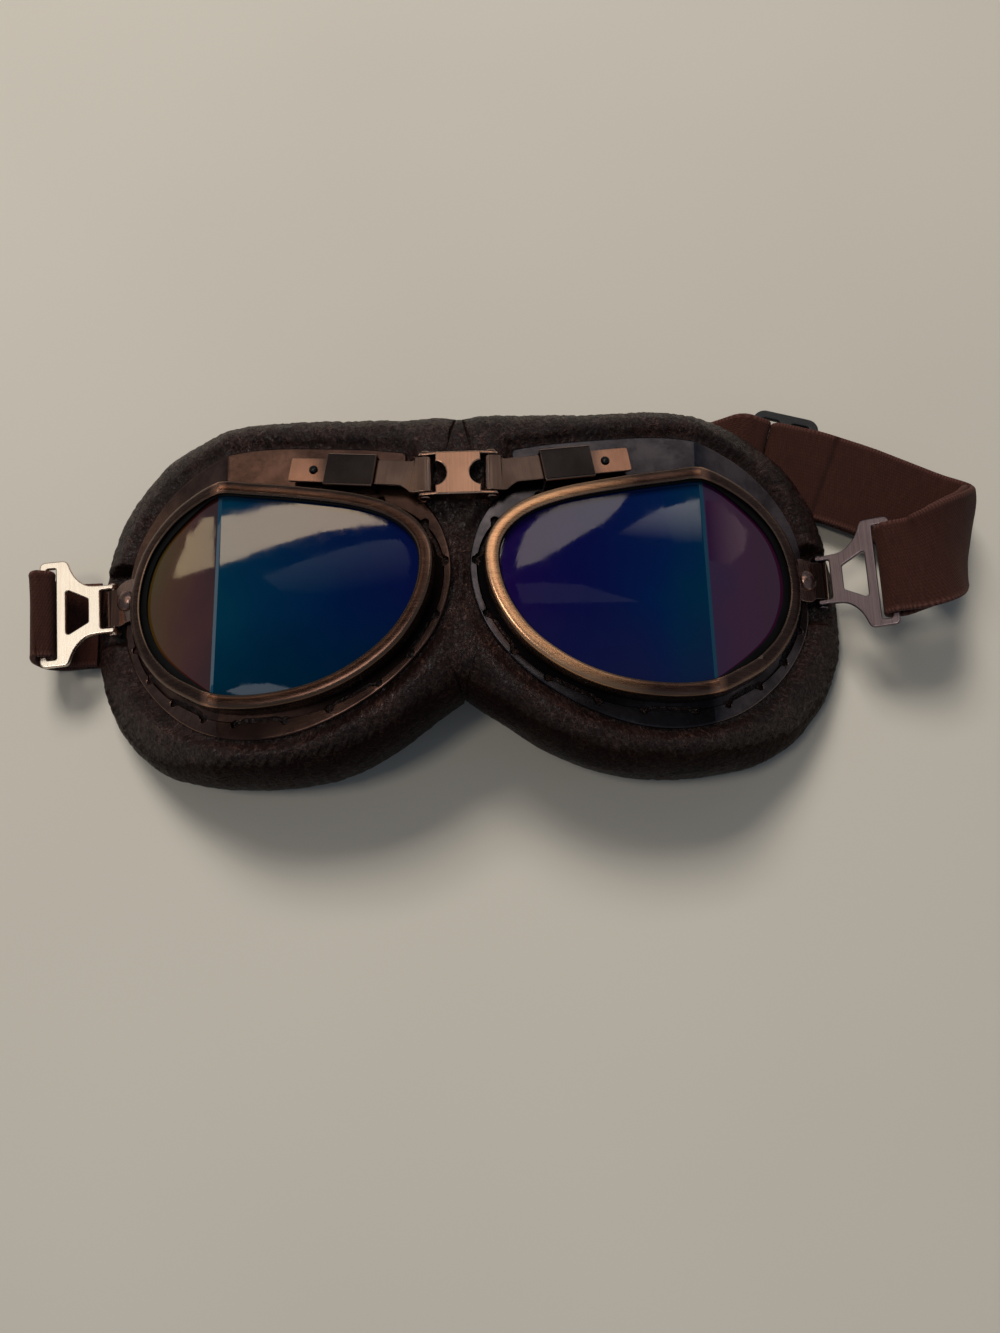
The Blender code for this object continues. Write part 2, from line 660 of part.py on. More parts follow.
def sleeve():
    """Folded guide on the flange that the arm slides through."""
    w, h, foot = SLEEVE_W / 2, SLEEVE_W / 2 - 0.85, -9.0
    outer = [(-w, foot), (-h, foot), (-h, -1.55), (h, -1.55), (h, foot), (w, foot), (w, 1.6), (-w, 1.6)]
    inner = [(-h, -0.75), (h, -0.75), (h, 0.75), (-h, 0.75)]

    def place(y, z, x):
        p = arm_at(SLEEVE_0 + SLEEVE_L / 2 + x, y, max(z, -1.55))
        return (p[0], p[1], flange_z(p[0]) + 0.4) if z < -2.0 else tuple(p)

    return plate([outer, inner], place, SLEEVE_L)


def bracket(cy, yaw):
    """Riveted strip on the temple flange with a knuckle round the clip pin."""
    r = 1.5
    w = math.radians(yaw)
    centres, widths = [], []
    for x in (88.4, 90.2, 92.2):
        centres.append((x, RIVET[1] + (cy - RIVET[1]) * smooth((x - 90.4) / 2.4), flange_z(x) + 0.95))
        widths.append((0.0, 1.0, 0.0))
    centres.append((94.0, cy, CLIP_Z + r + 0.25))
    widths.append((-math.sin(w), 1.0, 0.0))
    for a in np.linspace(82.0, -215.0, 15):
        x, z = r * math.cos(math.radians(a)), r * math.sin(math.radians(a))
        centres.append((CLIP_X + x * math.cos(w), cy + x * math.sin(w), CLIP_Z + z))
        widths.append((-math.sin(w), math.cos(w), 0.0))
    half = [5.9, 5.9, 5.3, 5.1] + [5.1] * 15
    return ribbon(centres, widths, half, 0.85)


# ---- strap clip ------------------------------------------------------------------------------
def clip_frame(side):
    """Maps the clip's own frame, x outwards from its pin and z up from its plate, into space."""
    tilt, yaw = (LEFT_TILT, LEFT_YAW) if side == "left" else (RIGHT_TILT, RIGHT_YAW)
    c, s = math.cos(math.radians(tilt)), math.sin(math.radians(tilt))
    cw, sw = math.cos(math.radians(yaw)), math.sin(math.radians(yaw))

    def place(x, y, z):
        h = c * x - s * (z + CLIP_LIFT)
        return (CLIP_X + cw * h - sw * y, CLIP_Y[side] + sw * h + cw * y, CLIP_Z + s * x + c * (z + CLIP_LIFT))

    return place


def clip_plate(side):
    half = [
        (-0.6, 6.75), (4.6, 6.85), (6.6, 7.2), (8.3, 8.3), (10.2, 10.5), (11.3, 12.8), (11.8, 14.2), (12.6, 14.8),
        (17.9, 14.8), (18.8, 14.2), (19.1, 13.3),
    ]
    inner = [(3.1, -5.5), (3.1, 5.5), (-0.6, 5.5)]
    loop = half + [(x, -y) for x, y in half[::-1]] + [(-0.6, -5.5)] + inner
    window = [
        (6.4, -3.6), (11.8, -6.4), (12.4, -6.0), (12.4, 6.0), (11.8, 6.4), (6.4, 3.6), (6.0, 2.9), (6.0, -2.9),
    ]
    slot = [(14.7, -12.9), (17.3, -12.9), (17.3, 12.9), (14.7, 12.9)]
    return plate([loop, window, slot], clip_frame(side), CLIP_T)


def clip_ear(side, sign):
    place = clip_frame(side)
    top = CLIP_LIFT + 0.3
    loop = arc(0.0, 0.0, 1.8, 165, 330, 9) + [(3.0, top), (-0.5, top)]
    hole = arc(0.0, 0.0, 1.05, 0, 330, 12)
    return plate([loop, hole], lambda x, z, y: place(x, sign * 6.125 + y, z - CLIP_LIFT), 1.25)


def clip_pin(side, yaw):
    r, l = 0.75, 7.05
    return turned(
        (CLIP_X, CLIP_Y[side], CLIP_Z), (-math.sin(math.radians(yaw)), math.cos(math.radians(yaw)), 0),
        [(0.7, -l - 0.5), (1.4, -l - 0.3), (1.4, -l), (r, -l), (r, l), (1.4, l), (1.4, l + 0.3), (0.7, l + 0.5)], 10,
    )


# ---- strap -----------------------------------------------------------------------------------
def band(points, closed=False, per=5, half=STRAP_W / 2, t=STRAP_T):
    """A stretch of strap through control points (x, y, z, width x, width y, width z)."""
    fine_line = spline(points, False, per)
    return ribbon(fine_line[:, :3], fine_line[:, 3:], half, t)


FLAT = STRAP_T / 2  # middle of a strap that lies on the table
GLIDE_ALONG, GLIDE_LONG = np.array((0.935, -0.355, 0.0)), unit((0.275, 0.945, 0.16))
RUN = [  # centre of the strap under the goggles
    (-100.6, 6.4), (-85.0, 7.0), (-60.0, 11.0), (-36.0, 17.0), (-12.0, 24.0), (12.0, 31.6), (36.0, 40.0),
    (52.0, 45.0), (66.0, 48.2), (80.0, 50.0),
]


def run_piece(x0, x1, n, tail=()):
    line = spline(RUN, False, 12)
    y = np.interp(np.linspace(x0, x1, n), line[:, 0], line[:, 1])
    pts = [(x, v, FLAT) for x, v in zip(np.linspace(x0, x1, n), y)]
    t = np.gradient(np.array(pts), axis=0)
    widths = [unit((-v[1], v[0], 0.0)) for v in t] + [unit(p[3:]) for p in tail]
    return ribbon(pts + [p[:3] for p in tail], widths, STRAP_W / 2, STRAP_T)


def left_loop():
    """Sewn end of the strap round the outer bar of the clip, drawn on the +X side."""
    place = clip_frame("left")
    pts = [(101.0, 6.4, FLAT), (107.0, 6.3, FLAT), (112.0, 5.9, FLAT + 0.2), (115.4, 5.6, 2.6), (116.9, 5.3, 6.0)]
    pts += [(117.3, 5.3, 10.4), (116.5, 5.4, 14.0)]
    for q in ((19.6, 2.5), (17.8, 2.0), (16.35, 1.2), (15.95, 0.0), (16.35, -1.2), (17.6, -2.4)):
        pts.append(place(q[0], 0.0, q[1]))
    pts += [(114.0, 6.0, 8.2), (112.0, 6.1, 4.6), (108.5, 6.3, 2.9), (103.0, 6.4, 2.65)]
    line = spline(pts, False, 4)
    skew = math.sin(math.radians(LEFT_YAW))
    widths = [(-skew * smooth((x - 101.0) / 8.0), 1.0, 0.0) for x, _, _ in line]
    line[:, 2] = np.maximum(line[:, 2], FLAT + 0.02)
    return ribbon(line, widths, STRAP_W / 2 - 0.4, STRAP_T)


# Middle of the loop's outer layer, from the slider round the bend to the clip, with its width direction.
LOOP = [
    (103.6, 41.2, 5.8, 0.29, 0.95, 0.15), (109.2, 38.6, 6.2, 0.35, 0.92, 0.15), (115.9, 35.4, 6.3, 0.35, 0.92, 0.15),
    (122.8, 31.9, 6.5, 0.31, 0.94, 0.15), (129.2, 28.6, 7.0, 0.25, 0.96, 0.15), (133.8, 25.9, 8.9, 0.22, 0.97, 0.14),
    (135.8, 23.2, 12.2, 0.21, 0.97, 0.14), (134.9, 20.6, 16.6, 0.21, 0.97, 0.14), (131.2, 17.2, 21.2, 0.17, 0.97, 0.14),
    (126.0, 13.7, 24.6, 0.10, 0.99, 0.11), (121.2, 11.2, 25.9, 0.06, 0.99, 0.08), (116.9, 9.9, 25.3, 0.02, 0.99, 0.04),
]


def loop_path():
    """Whole path of the loop: outer layer, round the clip's bar and back inside the outer layer."""
    outer = np.array(LOOP)
    tan = np.gradient(outer[:, :3], axis=0)
    inner = []
    for p, t in zip(outer, tan):
        n = unit(np.cross(p[3:], t))
        n = n if np.dot(n, (120.0, 22.0, 15.0) - p[:3]) > 0 else -n
        inner.append(list(p[:3] + n * (STRAP_T + 0.45)) + list(p[3:]))
    place = clip_frame("right")
    turn = [
        list(place(x, y, z)) + [0.0, 1.0, 0.0]
        for x, y, z in (
            (19.6, 0.4, 2.15), (17.9, 0.3, 2.1), (16.4, 0.2, 1.3), (15.95, 0.1, 0.0), (16.4, 0.1, -1.3), (17.9, 0.2, -2.15),
            (20.8, 0.4, -2.5),
        )
    ]
    glide = glide_frame()
    start = [list(glide(x, 0.0, z)) + list(GLIDE_LONG) for x, z in ((-0.8, -2.1), (4.0, -2.1), (8.6, -2.1), (11.4, -2.0))]
    end = [
        list(glide(x, 0.0, z)) + list(GLIDE_LONG)
        for x, z in ((9.6, 2.2), (4.4, 2.1), (0.4, 2.2), (-2.2, 1.8), (-3.2, 0.2), (-2.9, -0.9))
    ]
    return np.vstack([start, outer, turn, inner[-2:0:-1], end])


def loop():
    path = spline(loop_path(), False, 4)
    return ribbon(path[:, :3], path[:, 3:], STRAP_W / 2 - 0.2, STRAP_T)


def glide_frame():
    """Maps the adjuster's own frame, x along the strap and z up, into space."""
    b = GLIDE_LONG
    a = unit(GLIDE_ALONG - b * np.dot(GLIDE_ALONG, b))
    n = np.cross(a, b)

    def place(x, y, z):
        return tuple(np.array(SLIDER_C) + a * x + b * y + n * z)

    return place


def tri_glide():
    """Flat adjuster with two openings; its long side lies across the strap."""
    w, l, c = 9.4, 15.6, 2.2
    loop = [(w - c, -l), (w, -l + c), (w, l - c), (w - c, l), (-w + c, l), (-w, l - c), (-w, -l + c), (-w + c, -l)]
    holes = [
        [(s * 1.5, -13.2), (s * 6.9, -13.2), (s * 6.9, 13.2), (s * 1.5, 13.2)] for s in (-1, 1)
    ]
    return plate([loop] + holes, glide_frame(), 1.9)


# ---- build -----------------------------------------------------------------------------------
for side in ("left", "right"):
    is_left = side == "left"
    eye, arms, clips = side + "_eye", side + "_arm", side + "_clip"
    add(side + "_cup", cup(), "gunmetal", eye, is_left)
    add(side + "_lens_rim", lens_rim(), "copper", eye, is_left)
    add(side + "_lens_gasket", gasket(), "rubber", eye, is_left)
    add(side + "_lens", lens(), "lens_blue", eye, is_left)
    add(side + "_arm_sleeve", sleeve(), "gunmetal", eye, is_left)

    strip = add(side + "_bridge_arm", arm(), "copper", arms, is_left)
    hole = add(
        side + "_screw_hole", turned(arm_at(SCREW), ARM_E3, [(0.95, -2.0), (0.95, 2.0)], 12), None, arms, is_left, helper=True
    )
    combine(strip, hole, "DIFFERENCE")
    add(
        side + "_set_screw",
        turned(arm_at(SCREW), ARM_E3, [(0.6, -1.3), (0.6, 0.75), (1.4, 0.65), (1.35, 1.1), (0.9, 1.55), (0.0, 1.75)], 12),
        "black_steel", arms, is_left,
    )

    yaw = LEFT_YAW if is_left else RIGHT_YAW
    strip = add(side + "_temple_bracket", bracket(CLIP_Y[side], yaw), "copper", eye, is_left)
    slope = unit((FLANGE_SIDE, 0.0, 1.0))
    foot = (RIVET[0], RIVET[1], flange_z(RIVET[0]))
    hole = add(side + "_rivet_hole", turned(foot, slope, [(0.95, -1.0), (0.95, 4.0)], 12), None, eye, is_left, helper=True)
    combine(strip, hole, "DIFFERENCE")
    add(
        side + "_bracket_rivet",
        turned(foot, slope, [(0.6, -0.5), (0.6, 1.75), (2.75, 1.75), (2.6, 2.15), (1.7, 2.75), (0.0, 3.05)], 14),
        "copper", eye, is_left,
    )

    piece = add(side + "_strap_clip", clip_plate(side), "clip_copper", clips, is_left)
    for sign in (-1, 1):
        ear = add(f"{side}_ear_{'low' if sign < 0 else 'high'}", clip_ear(side, sign), None, clips, is_left, helper=True)
        combine(piece, ear, "UNION")
    add(side + "_clip_pin", clip_pin(side, yaw), "clip_copper", clips, is_left)

    shell = pad_sections(0.0)
    add(side + "_pad_leather", sleeve_loft(shell, pad_sections(0.9)), "leather", eye, is_left)
    add(side + "_pad_foam", loft(pad_sections(2.6)), "foam", eye, is_left)
    add(side + "_bridge_pin", bridge_pin(), "black_steel", "bridge", is_left)

top = add("bridge_plate", bridge_top(), "copper", "bridge")
for sign in (-1, 1):
    cheek = add(f"bridge_cheek_{'low' if sign < 0 else 'high'}", bridge_cheek(sign), None, "bridge", helper=True)
    combine(top, cheek, "UNION")
add("nose_pad", centre_pad(), "leather", "bridge")

add("strap_left_end", left_loop(), "elastic", "left_clip", left=True)
add("strap_under_left", run_piece(-100.4, -12.3, 12), "elastic", "left_eye")
add("strap_under_middle", run_piece(-11.7, 11.7, 5), "elastic", "bridge")
glide = glide_frame()
tail = [(66.5, 48.3, 1.3, -0.05, 1.0, 0.0), (71.0, 49.0, 3.4, -0.03, 1.0, 0.03)]
tail += [tuple(glide(x, 0.0, z)) + tuple(GLIDE_LONG) for x, z in ((-12.0, 2.3), (-8.6, 2.4), (-6.2, 1.9), (-5.2, 0.8), (-5.0, -0.8))]
add("strap_under_right", run_piece(12.3, 62.0, 8, tail), "elastic", "right_eye")
add("strap_right_loop", loop(), "elastic", "right_eye")
add("strap_adjuster", tri_glide(), "black_plastic", "strap_slider")
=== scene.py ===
import math

import bmesh
import bpy
import numpy as np
from mathutils import Matrix, Vector, geometry, noise


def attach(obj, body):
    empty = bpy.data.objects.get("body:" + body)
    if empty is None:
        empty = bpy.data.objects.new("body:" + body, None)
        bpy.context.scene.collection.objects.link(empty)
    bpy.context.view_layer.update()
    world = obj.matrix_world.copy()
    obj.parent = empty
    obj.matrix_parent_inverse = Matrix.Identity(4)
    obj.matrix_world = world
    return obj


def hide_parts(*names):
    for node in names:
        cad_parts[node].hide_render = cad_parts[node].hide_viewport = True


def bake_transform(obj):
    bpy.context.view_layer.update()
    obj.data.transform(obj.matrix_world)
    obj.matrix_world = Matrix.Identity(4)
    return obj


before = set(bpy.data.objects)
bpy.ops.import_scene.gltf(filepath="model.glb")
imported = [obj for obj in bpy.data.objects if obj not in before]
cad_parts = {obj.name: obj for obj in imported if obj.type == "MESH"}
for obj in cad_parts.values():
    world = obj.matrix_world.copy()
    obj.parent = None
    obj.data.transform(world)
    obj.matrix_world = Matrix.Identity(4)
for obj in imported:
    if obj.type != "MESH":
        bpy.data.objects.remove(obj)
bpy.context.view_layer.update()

# All shapes below are drawn in millimetres in the part's design frame, with the mirror plane at X = 0.
ORIGIN = np.array((10.76, 10.37, 0.0))

RIM = [
    (6.0, 6.5), (8.0, 14.5), (14.5, 21.0), (25.0, 25.5), (40.0, 29.0), (52.0, 31.2),
    (60.0, 32.4), (68.0, 31.0), (76.5, 27.0), (83.5, 20.0), (87.0, 11.0), (87.0, 1.0),
    (83.0, -9.0), (76.0, -17.0), (67.5, -22.5), (60.0, -25.8), (49.0, -26.7),
    (36.0, -25.0), (24.5, -20.5), (14.5, -13.0), (8.2, -3.5),
]
FLANGE = [
    (13.3, 38.4), (22.0, 40.2), (34.5, 41.9), (47.0, 43.2), (57.0, 43.2), (66.0, 41.6),
    (75.0, 38.0), (83.0, 31.8), (88.7, 23.5), (90.8, 14.0), (91.0, 0.0), (88.2, -9.0),
    (81.5, -18.3), (72.0, -26.4), (62.0, -31.3), (51.5, -33.0), (40.0, -31.7),
    (28.0, -27.2), (17.0, -20.3), (8.5, -11.5), (3.8, -2.5), (2.2, 7.0), (4.2, 17.0),
    (8.6, 24.6), (13.3, 29.6),
]
ROLL = [
    (0.0, 50.6), (16.0, 51.3), (43.0, 53.9), (62.0, 53.7), (76.0, 50.0), (86.0, 43.2), (94.0, 33.0),
    (98.8, 21.0), (101.0, 9.0), (101.2, -2.0), (98.8, -13.0), (93.0, -24.5), (85.0, -33.3), (76.0, -38.8),
    (65.0, -41.4), (54.0, -42.4), (42.0, -41.8), (30.0, -39.4), (18.5, -34.6), (9.5, -28.6), (0.0, -22.6),
]
KINK_X = 60.6
RIM_Z, RIM_FRONT, RIM_SIDE = 38.4, 0.165, 0.60
FLANGE_Z, FLANGE_FRONT, FLANGE_SIDE = 31.2, 0.150, 0.57
LENS_T = 1.8
VENTS = [
    ((7.5, 20.0), (3.6, 8.5)), ((6.7, -4.6), (13.0, -13.7)), ((20.0, -21.0), (32.5, -26.5)),
    ((43.0, -29.0), (56.0, -29.5)), ((64.5, -27.5), (74.5, -22.0)), ((82.0, -14.0), (87.5, -5.0)),
    ((19.0, 28.0), (36.0, 31.5)), ((66.0, 35.0), (77.0, 30.5)),
]
HINGE_X, HINGE_Y, HINGE_Z = 8.1, 30.1, 41.6
PIN_R = 0.8
ARM_PLAN, ARM_SLOPE = math.radians(9.2), -0.20
ARM_T, ARM_W, ARM_T_HEAD = 0.8, 6.5, 9.2
SLEEVE_L, SLEEVE_W, SLEEVE_0 = 13.0, 8.9, 12.6
SCREW = 29.2
CLIP_X, CLIP_Y, CLIP_Z = 95.6, {"left": 7.6, "right": 9.4}, 11.4
RIVET = (90.4, 8.9)
CLIP_T, CLIP_LIFT = 1.4, 1.65
STRAP_W, STRAP_T = 25.0, 1.5
TILT = {"left": 2.0, "right": 25.0}
YAW = {"left": -5.0, "right": 0.0}


# ---- curves and heights ------------------------------------------------------------------------
def rim_z(x):
    x = np.abs(x)
    return np.where(x <= KINK_X, RIM_Z + RIM_FRONT * (KINK_X - x), RIM_Z - RIM_SIDE * (x - KINK_X))


def flange_z(x):
    x = np.abs(x)
    return np.where(x <= KINK_X, FLANGE_Z + FLANGE_FRONT * (KINK_X - x), FLANGE_Z - FLANGE_SIDE * (x - KINK_X))


def smooth(t):
    t = np.clip(t, 0.0, 1.0)
    return t * t * (3.0 - 2.0 * t)


def pad_z(x, y):
    arch = 13.0 * (1.0 - smooth(np.abs(x) / 46.0))
    lift = 2.4 * smooth((y + 27.0) / 17.0) + 4.6 * smooth((y - 8.0) / 22.0)
    return arch + lift + 2.4 * smooth((np.abs(x) - 70.0) / 12.0) * smooth((y - 24.0) / 9.0)


def spline(points, closed, steps=16):
    p = np.array(points, float)
    n = len(p)
    out = []
    t = (np.arange(steps) / steps)[:, None]
    for i in range(n if closed else n - 1):
        if closed:
            a, b, c, d = p[(i - 1) % n], p[i], p[(i + 1) % n], p[(i + 2) % n]
        else:
            a, b, c, d = p[max(i - 1, 0)], p[i], p[i + 1], p[min(i + 2, n - 1)]
        out.append(0.5 * (2 * b + (c - a) * t + (2 * a - 5 * b + 4 * c - d) * t * t + (3 * b - a - 3 * c + d) * t**3))
    if not closed:
        out.append(p[-1:])
    return np.vstack(out)


def resample(curve, n, closed):
    c = np.vstack([curve, curve[:1]]) if closed else np.asarray(curve, float)
    s = np.concatenate([[0], np.cumsum(np.linalg.norm(np.diff(c, axis=0), axis=1))])
    want = np.linspace(0, s[-1], n + 1)[:-1] if closed else np.linspace(0, s[-1], n)
    return np.stack([np.interp(want, s, c[:, k]) for k in range(c.shape[1])], 1)


def kinked(curve):
    c = curve.copy()
    for upper in (True, False):
        side = [i for i in range(len(c)) if (c[i, 1] > 5.0) == upper]
        c[min(side, key=lambda k: abs(c[k, 0] - KINK_X)), 0] = KINK_X
    return c


def outward(curve):
    t = np.roll(curve, -1, 0) - np.roll(curve, 1, 0)
    nrm = np.stack([t[:, 1], -t[:, 0]], 1)
    nrm /= np.linalg.norm(nrm, axis=1)[:, None] + 1e-12
    area = 0.5 * np.sum(curve[:, 0] * np.roll(curve[:, 1], -1) - np.roll(curve[:, 0], -1) * curve[:, 1])
    return nrm if area > 0 else -nrm


def fold_normals(curve):
    """Outward normals that keep the points on the fold line in its plane."""
    n = outward(curve)
    for i in np.flatnonzero(np.abs(curve[:, 0] - KINK_X) < 1e-6):
        n[i] = (0.0, 1.0 / n[i, 1])
    return n


def inside_many(points, poly):
    x, y = points[:, 0], points[:, 1]
    hit = np.zeros(len(points), bool)
    for (x0, y0), (x1, y1) in zip(poly, np.roll(poly, -1, 0)):
        if y0 == y1:
            continue
        hit ^= ((y0 > y) != (y1 > y)) & (x < (x1 - x0) * (y - y0) / (y1 - y0) + x0)
    return hit


def distance(points, line, closed=True):
    """Distance of each point to a polyline."""
    a = line if closed else line[:-1]
    b = np.roll(line, -1, 0) if closed else line[1:]
    best = np.full(len(points), 1e9)
    for p, q in zip(a, b):
        d = q - p
        t = np.clip(((points - p) @ d) / (d @ d + 1e-12), 0, 1)
        best = np.minimum(best, np.hypot(*(points - p - t[:, None] * d).T))
    return best


def unit(v):
    v = np.asarray(v, float)
    return v / np.linalg.norm(v)


def arc(cx, cy, r, a0, a1, n):
    a = np.radians(np.linspace(a0, a1, n))
    return list(zip(cx + r * np.cos(a), cy + r * np.sin(a)))


def rounded(poly, r, n=5):
    """A polygon with each corner replaced by an arc of radius r; r may be a list."""
    p = np.array(poly, float)
    m = len(p)
    out = []
    for i in range(m):
        a, b, c = p[i - 1], p[i], p[(i + 1) % m]
        u, v = unit(a - b), unit(c - b)
        half = 0.5 * math.acos(max(-1.0, min(1.0, float(u @ v))))
        ri = r[i] if hasattr(r, "__len__") else r
        if half > math.radians(86.0) or ri <= 0:
            out.append(b)
            continue
        cut = min(ri / math.tan(half), 0.45 * np.linalg.norm(a - b), 0.45 * np.linalg.norm(c - b))
        ri = cut * math.tan(half)
        centre = b + unit(u + v) * (ri / math.sin(half))
        s, e = b + u * cut - centre, b + v * cut - centre
        turn = math.atan2(s[0] * e[1] - s[1] * e[0], float(s @ e))
        for k in range(n + 1):
            w = turn * k / n
            cw, sw = math.cos(w), math.sin(w)
            out.append(centre + (s[0] * cw - s[1] * sw, s[0] * sw + s[1] * cw))
    return np.array(out)


def dense(loop, step):
    """Adds points along the long sides of a loop."""
    out = []
    for a, b in zip(loop, np.roll(loop, -1, 0)):
        n = max(1, int(np.linalg.norm(b - a) / step))
        out += [a + (b - a) * k / n for k in range(n)]
    return np.array(out)


# ---- meshes ------------------------------------------------------------------------------------
def fill(loops, links=()):
    points = [tuple(map(float, p)) for loop in loops for p in loop]
    edges, start = [], 0
    for loop in loops:
        edges += [(start + i, start + (i + 1) % len(loop)) for i in range(len(loop))]
        start += len(loop)
    edges += list(links)
    _, _, faces, orig, _, _ = geometry.delaunay_2d_cdt(points, edges, [], 0, 1e-7)
    back = np.array([o[0] for o in orig])
    tri = back[np.array([list(f) for f in faces])]
    mid = np.array(points)[tri].mean(1)
    keep = inside_many(mid, np.asarray(loops[0], float))
    for hole in loops[1:]:
        keep &= ~inside_many(mid, np.asarray(hole, float))
    return [list(map(int, t)) for t in tri[keep]]


class Mesh:
    """Collects vertices, faces and one vector per vertex for the materials."""

    def __init__(self):
        self.v, self.f, self.a = [], [], []

    def add(self, verts, faces, attr=None):
        base = sum(len(x) for x in self.v)
        verts = np.asarray(verts, float).reshape(-1, 3)
        self.v.append(verts)
        self.a.append(np.zeros((len(verts), 3)) if attr is None else np.asarray(attr, float).reshape(-1, 3))
        self.f += [[base + int(i) for i in f] for f in faces]
        return self


def make(name, shape, mat, left=False, sharp=32.0, closed=True, normals=None):
    v, a = np.vstack(shape.v), np.vstack(shape.a)
    f = shape.f
    if left:
        v = v * (-1.0, 1.0, 1.0)
        f = [x[::-1] for x in f]
    mesh = bpy.data.meshes.new(name)
    mesh.from_pydata(((v - ORIGIN) * 0.001).tolist(), [], f)
    if closed:
        bm = bmesh.new()
        bm.from_mesh(mesh)
        bmesh.ops.recalc_face_normals(bm, faces=bm.faces)
        if bm.calc_volume(signed=True) < 0:
            bmesh.ops.reverse_faces(bm, faces=bm.faces)
        bm.to_mesh(mesh)
        bm.free()
    mesh.shade_smooth()
    if sharp and normals is None:
        mesh.set_sharp_from_angle(angle=math.radians(sharp))
    if normals is not None:
        nn = normals * (-1.0, 1.0, 1.0) if left else normals
        mesh.normals_split_custom_set_from_vertices(nn.tolist())
    layer = mesh.attributes.new("lay", "FLOAT_VECTOR", "POINT")
    layer.data.foreach_set("vector", a.astype(np.float32).ravel())
    mesh.materials.append(mat)
    obj = bpy.data.objects.new(name, mesh)
    bpy.context.scene.collection.objects.link(obj)
    if normals is None:
        weigh = obj.modifiers.new("flat_faces", "WEIGHTED_NORMAL")
        weigh.mode, weigh.weight, weigh.keep_sharp = "FACE_AREA", 100, True
    return obj


def put(obj, body, nodes=()):
    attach(obj, body)
    if nodes:
        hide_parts(*nodes)
    return obj


def rounded_plate(loops, place, t, b=0.3, segs=4, shape=None):
    """A plate with rounded rims round its outline and its holes; place(x, y, z) puts it in space."""
    shape = shape or Mesh()
    rows, caps = [], []
    loops = [np.asarray(l, float) for l in loops]
    for k, loop in enumerate(loops):
        inward = -outward(loop) if k == 0 else outward(loop)
        prof = [(b + 0.16, t / 2)]
        prof += [(b * (1 - math.sin(w)), t / 2 - b * (1 - math.cos(w))) for w in np.linspace(0, math.pi / 2, segs + 1)]
        prof += [(o, -z) for o, z in prof[::-1]]
        rows.append([(loop + inward * o, z) for o, z in prof])
        caps.append(loop + inward * prof[0][0])
    tri = fill(caps)
    sizes = [len(l) for l in loops]
    m = len(rows[0])
    verts, index = [], []
    for row, n in zip(rows, sizes):
        ids = []
        for pts, z in row:
            ids.append(len(verts) + np.arange(n))
            verts += [tuple(place(x, y, z)) for x, y in pts]
        index.append(ids)
    top = np.concatenate([ids[0] for ids in index])
    bottom = np.concatenate([ids[-1] for ids in index])
    faces = [[top[i] for i in f] for f in tri] + [[bottom[i] for i in f[::-1]] for f in tri]
    for ids, n in zip(index, sizes):
        for r in range(m - 1):
            for i in range(n):
                j = (i + 1) % n
                faces.append([ids[r][i], ids[r][j], ids[r + 1][j], ids[r + 1][i]])
    attr = []
    for row in rows:
        for pts, z in row:
            attr += [(x, y, z) for x, y in pts]
    return shape.add(verts, faces, attr)


def sheet(outer, holes, lines, top, bottom, channel_shade_info=None, shape=None):
    """A plate over a flat outline. Its faces follow the given lines; top and bottom give the heights."""
    shape = shape or Mesh()
    points, edges = [], []
    for line, closed in [(outer, True)] + [(h, True) for h in holes] + list(lines):
        n, base = len(line), len(points)
        points += [tuple(map(float, p)) for p in line]
        edges += [(base + i, base + (i + 1) % n) for i in range(n if closed else n - 1)]
    found, _, faces, _, _, _ = geometry.delaunay_2d_cdt(points, edges, [], 0, 1e-5)
    v = np.array([tuple(p) for p in found])
    tri = np.array([list(f) for f in faces])
    mid = v[tri].mean(1)
    keep = inside_many(mid, outer)
    for hole in holes:
        keep &= ~inside_many(mid, hole)
    tri = tri[keep]
    used = np.unique(tri)
    back = np.full(len(v), -1)
    back[used] = np.arange(len(used))
    v, tri = v[used], back[tri]
    n = len(v)
    count = {}
    for f in tri.tolist():
        for a, b in ((f[0], f[1]), (f[1], f[2]), (f[2], f[0])):
            count[(a, b)] = 1
    rim_edges = [(a, b) for a, b in count if (b, a) not in count]
    verts = np.vstack([np.column_stack([v, top(v)]), np.column_stack([v, bottom(v)])])
    out = tri.tolist() + (tri[:, ::-1] + n).tolist() + [[a, a + n, b + n, b] for a, b in rim_edges]
    attr = np.column_stack([verts[:, :2], np.concatenate([channel_shade_info(v), np.zeros(n)]) if channel_shade_info else verts[:, 2]])
    return shape.add(verts, out, attr)


def round_off(d, r):
    """How far a rounded edge of radius r has fallen at distance d from the edge."""
    d = np.clip(d, 0.0, r)
    return r - np.sqrt(np.maximum(r * r - (r - d) ** 2, 0.0))


def ring(curve, normals, profile, shape=None):
    """A closed ring; profile is a list of (offset outwards, height function or list of heights)."""
    shape = shape or Mesh()
    n, m = len(curve), len(profile)
    verts, attr = np.zeros((n, m, 3)), np.zeros((n, m, 3))
    s = np.concatenate([[0], np.cumsum(np.linalg.norm(np.diff(curve, axis=0), axis=1))])
    run = 0.0
    for k, (u, z) in enumerate(profile):
        p = curve + normals * u
        verts[:, k, :2] = p
        verts[:, k, 2] = z(p[:, 0])
        if k:
            run += float(np.linalg.norm(verts[0, k] - verts[0, k - 1]))
        attr[:, k, 0], attr[:, k, 1], attr[:, k, 2] = s, u, run
    faces = []
    for i in range(n):
        j = (i + 1) % n
        for k in range(m):
            l = (k + 1) % m
            faces.append([i * m + k, j * m + k, j * m + l, i * m + l])
    return shape.add(verts.reshape(-1, 3), faces, attr.reshape(-1, 3))


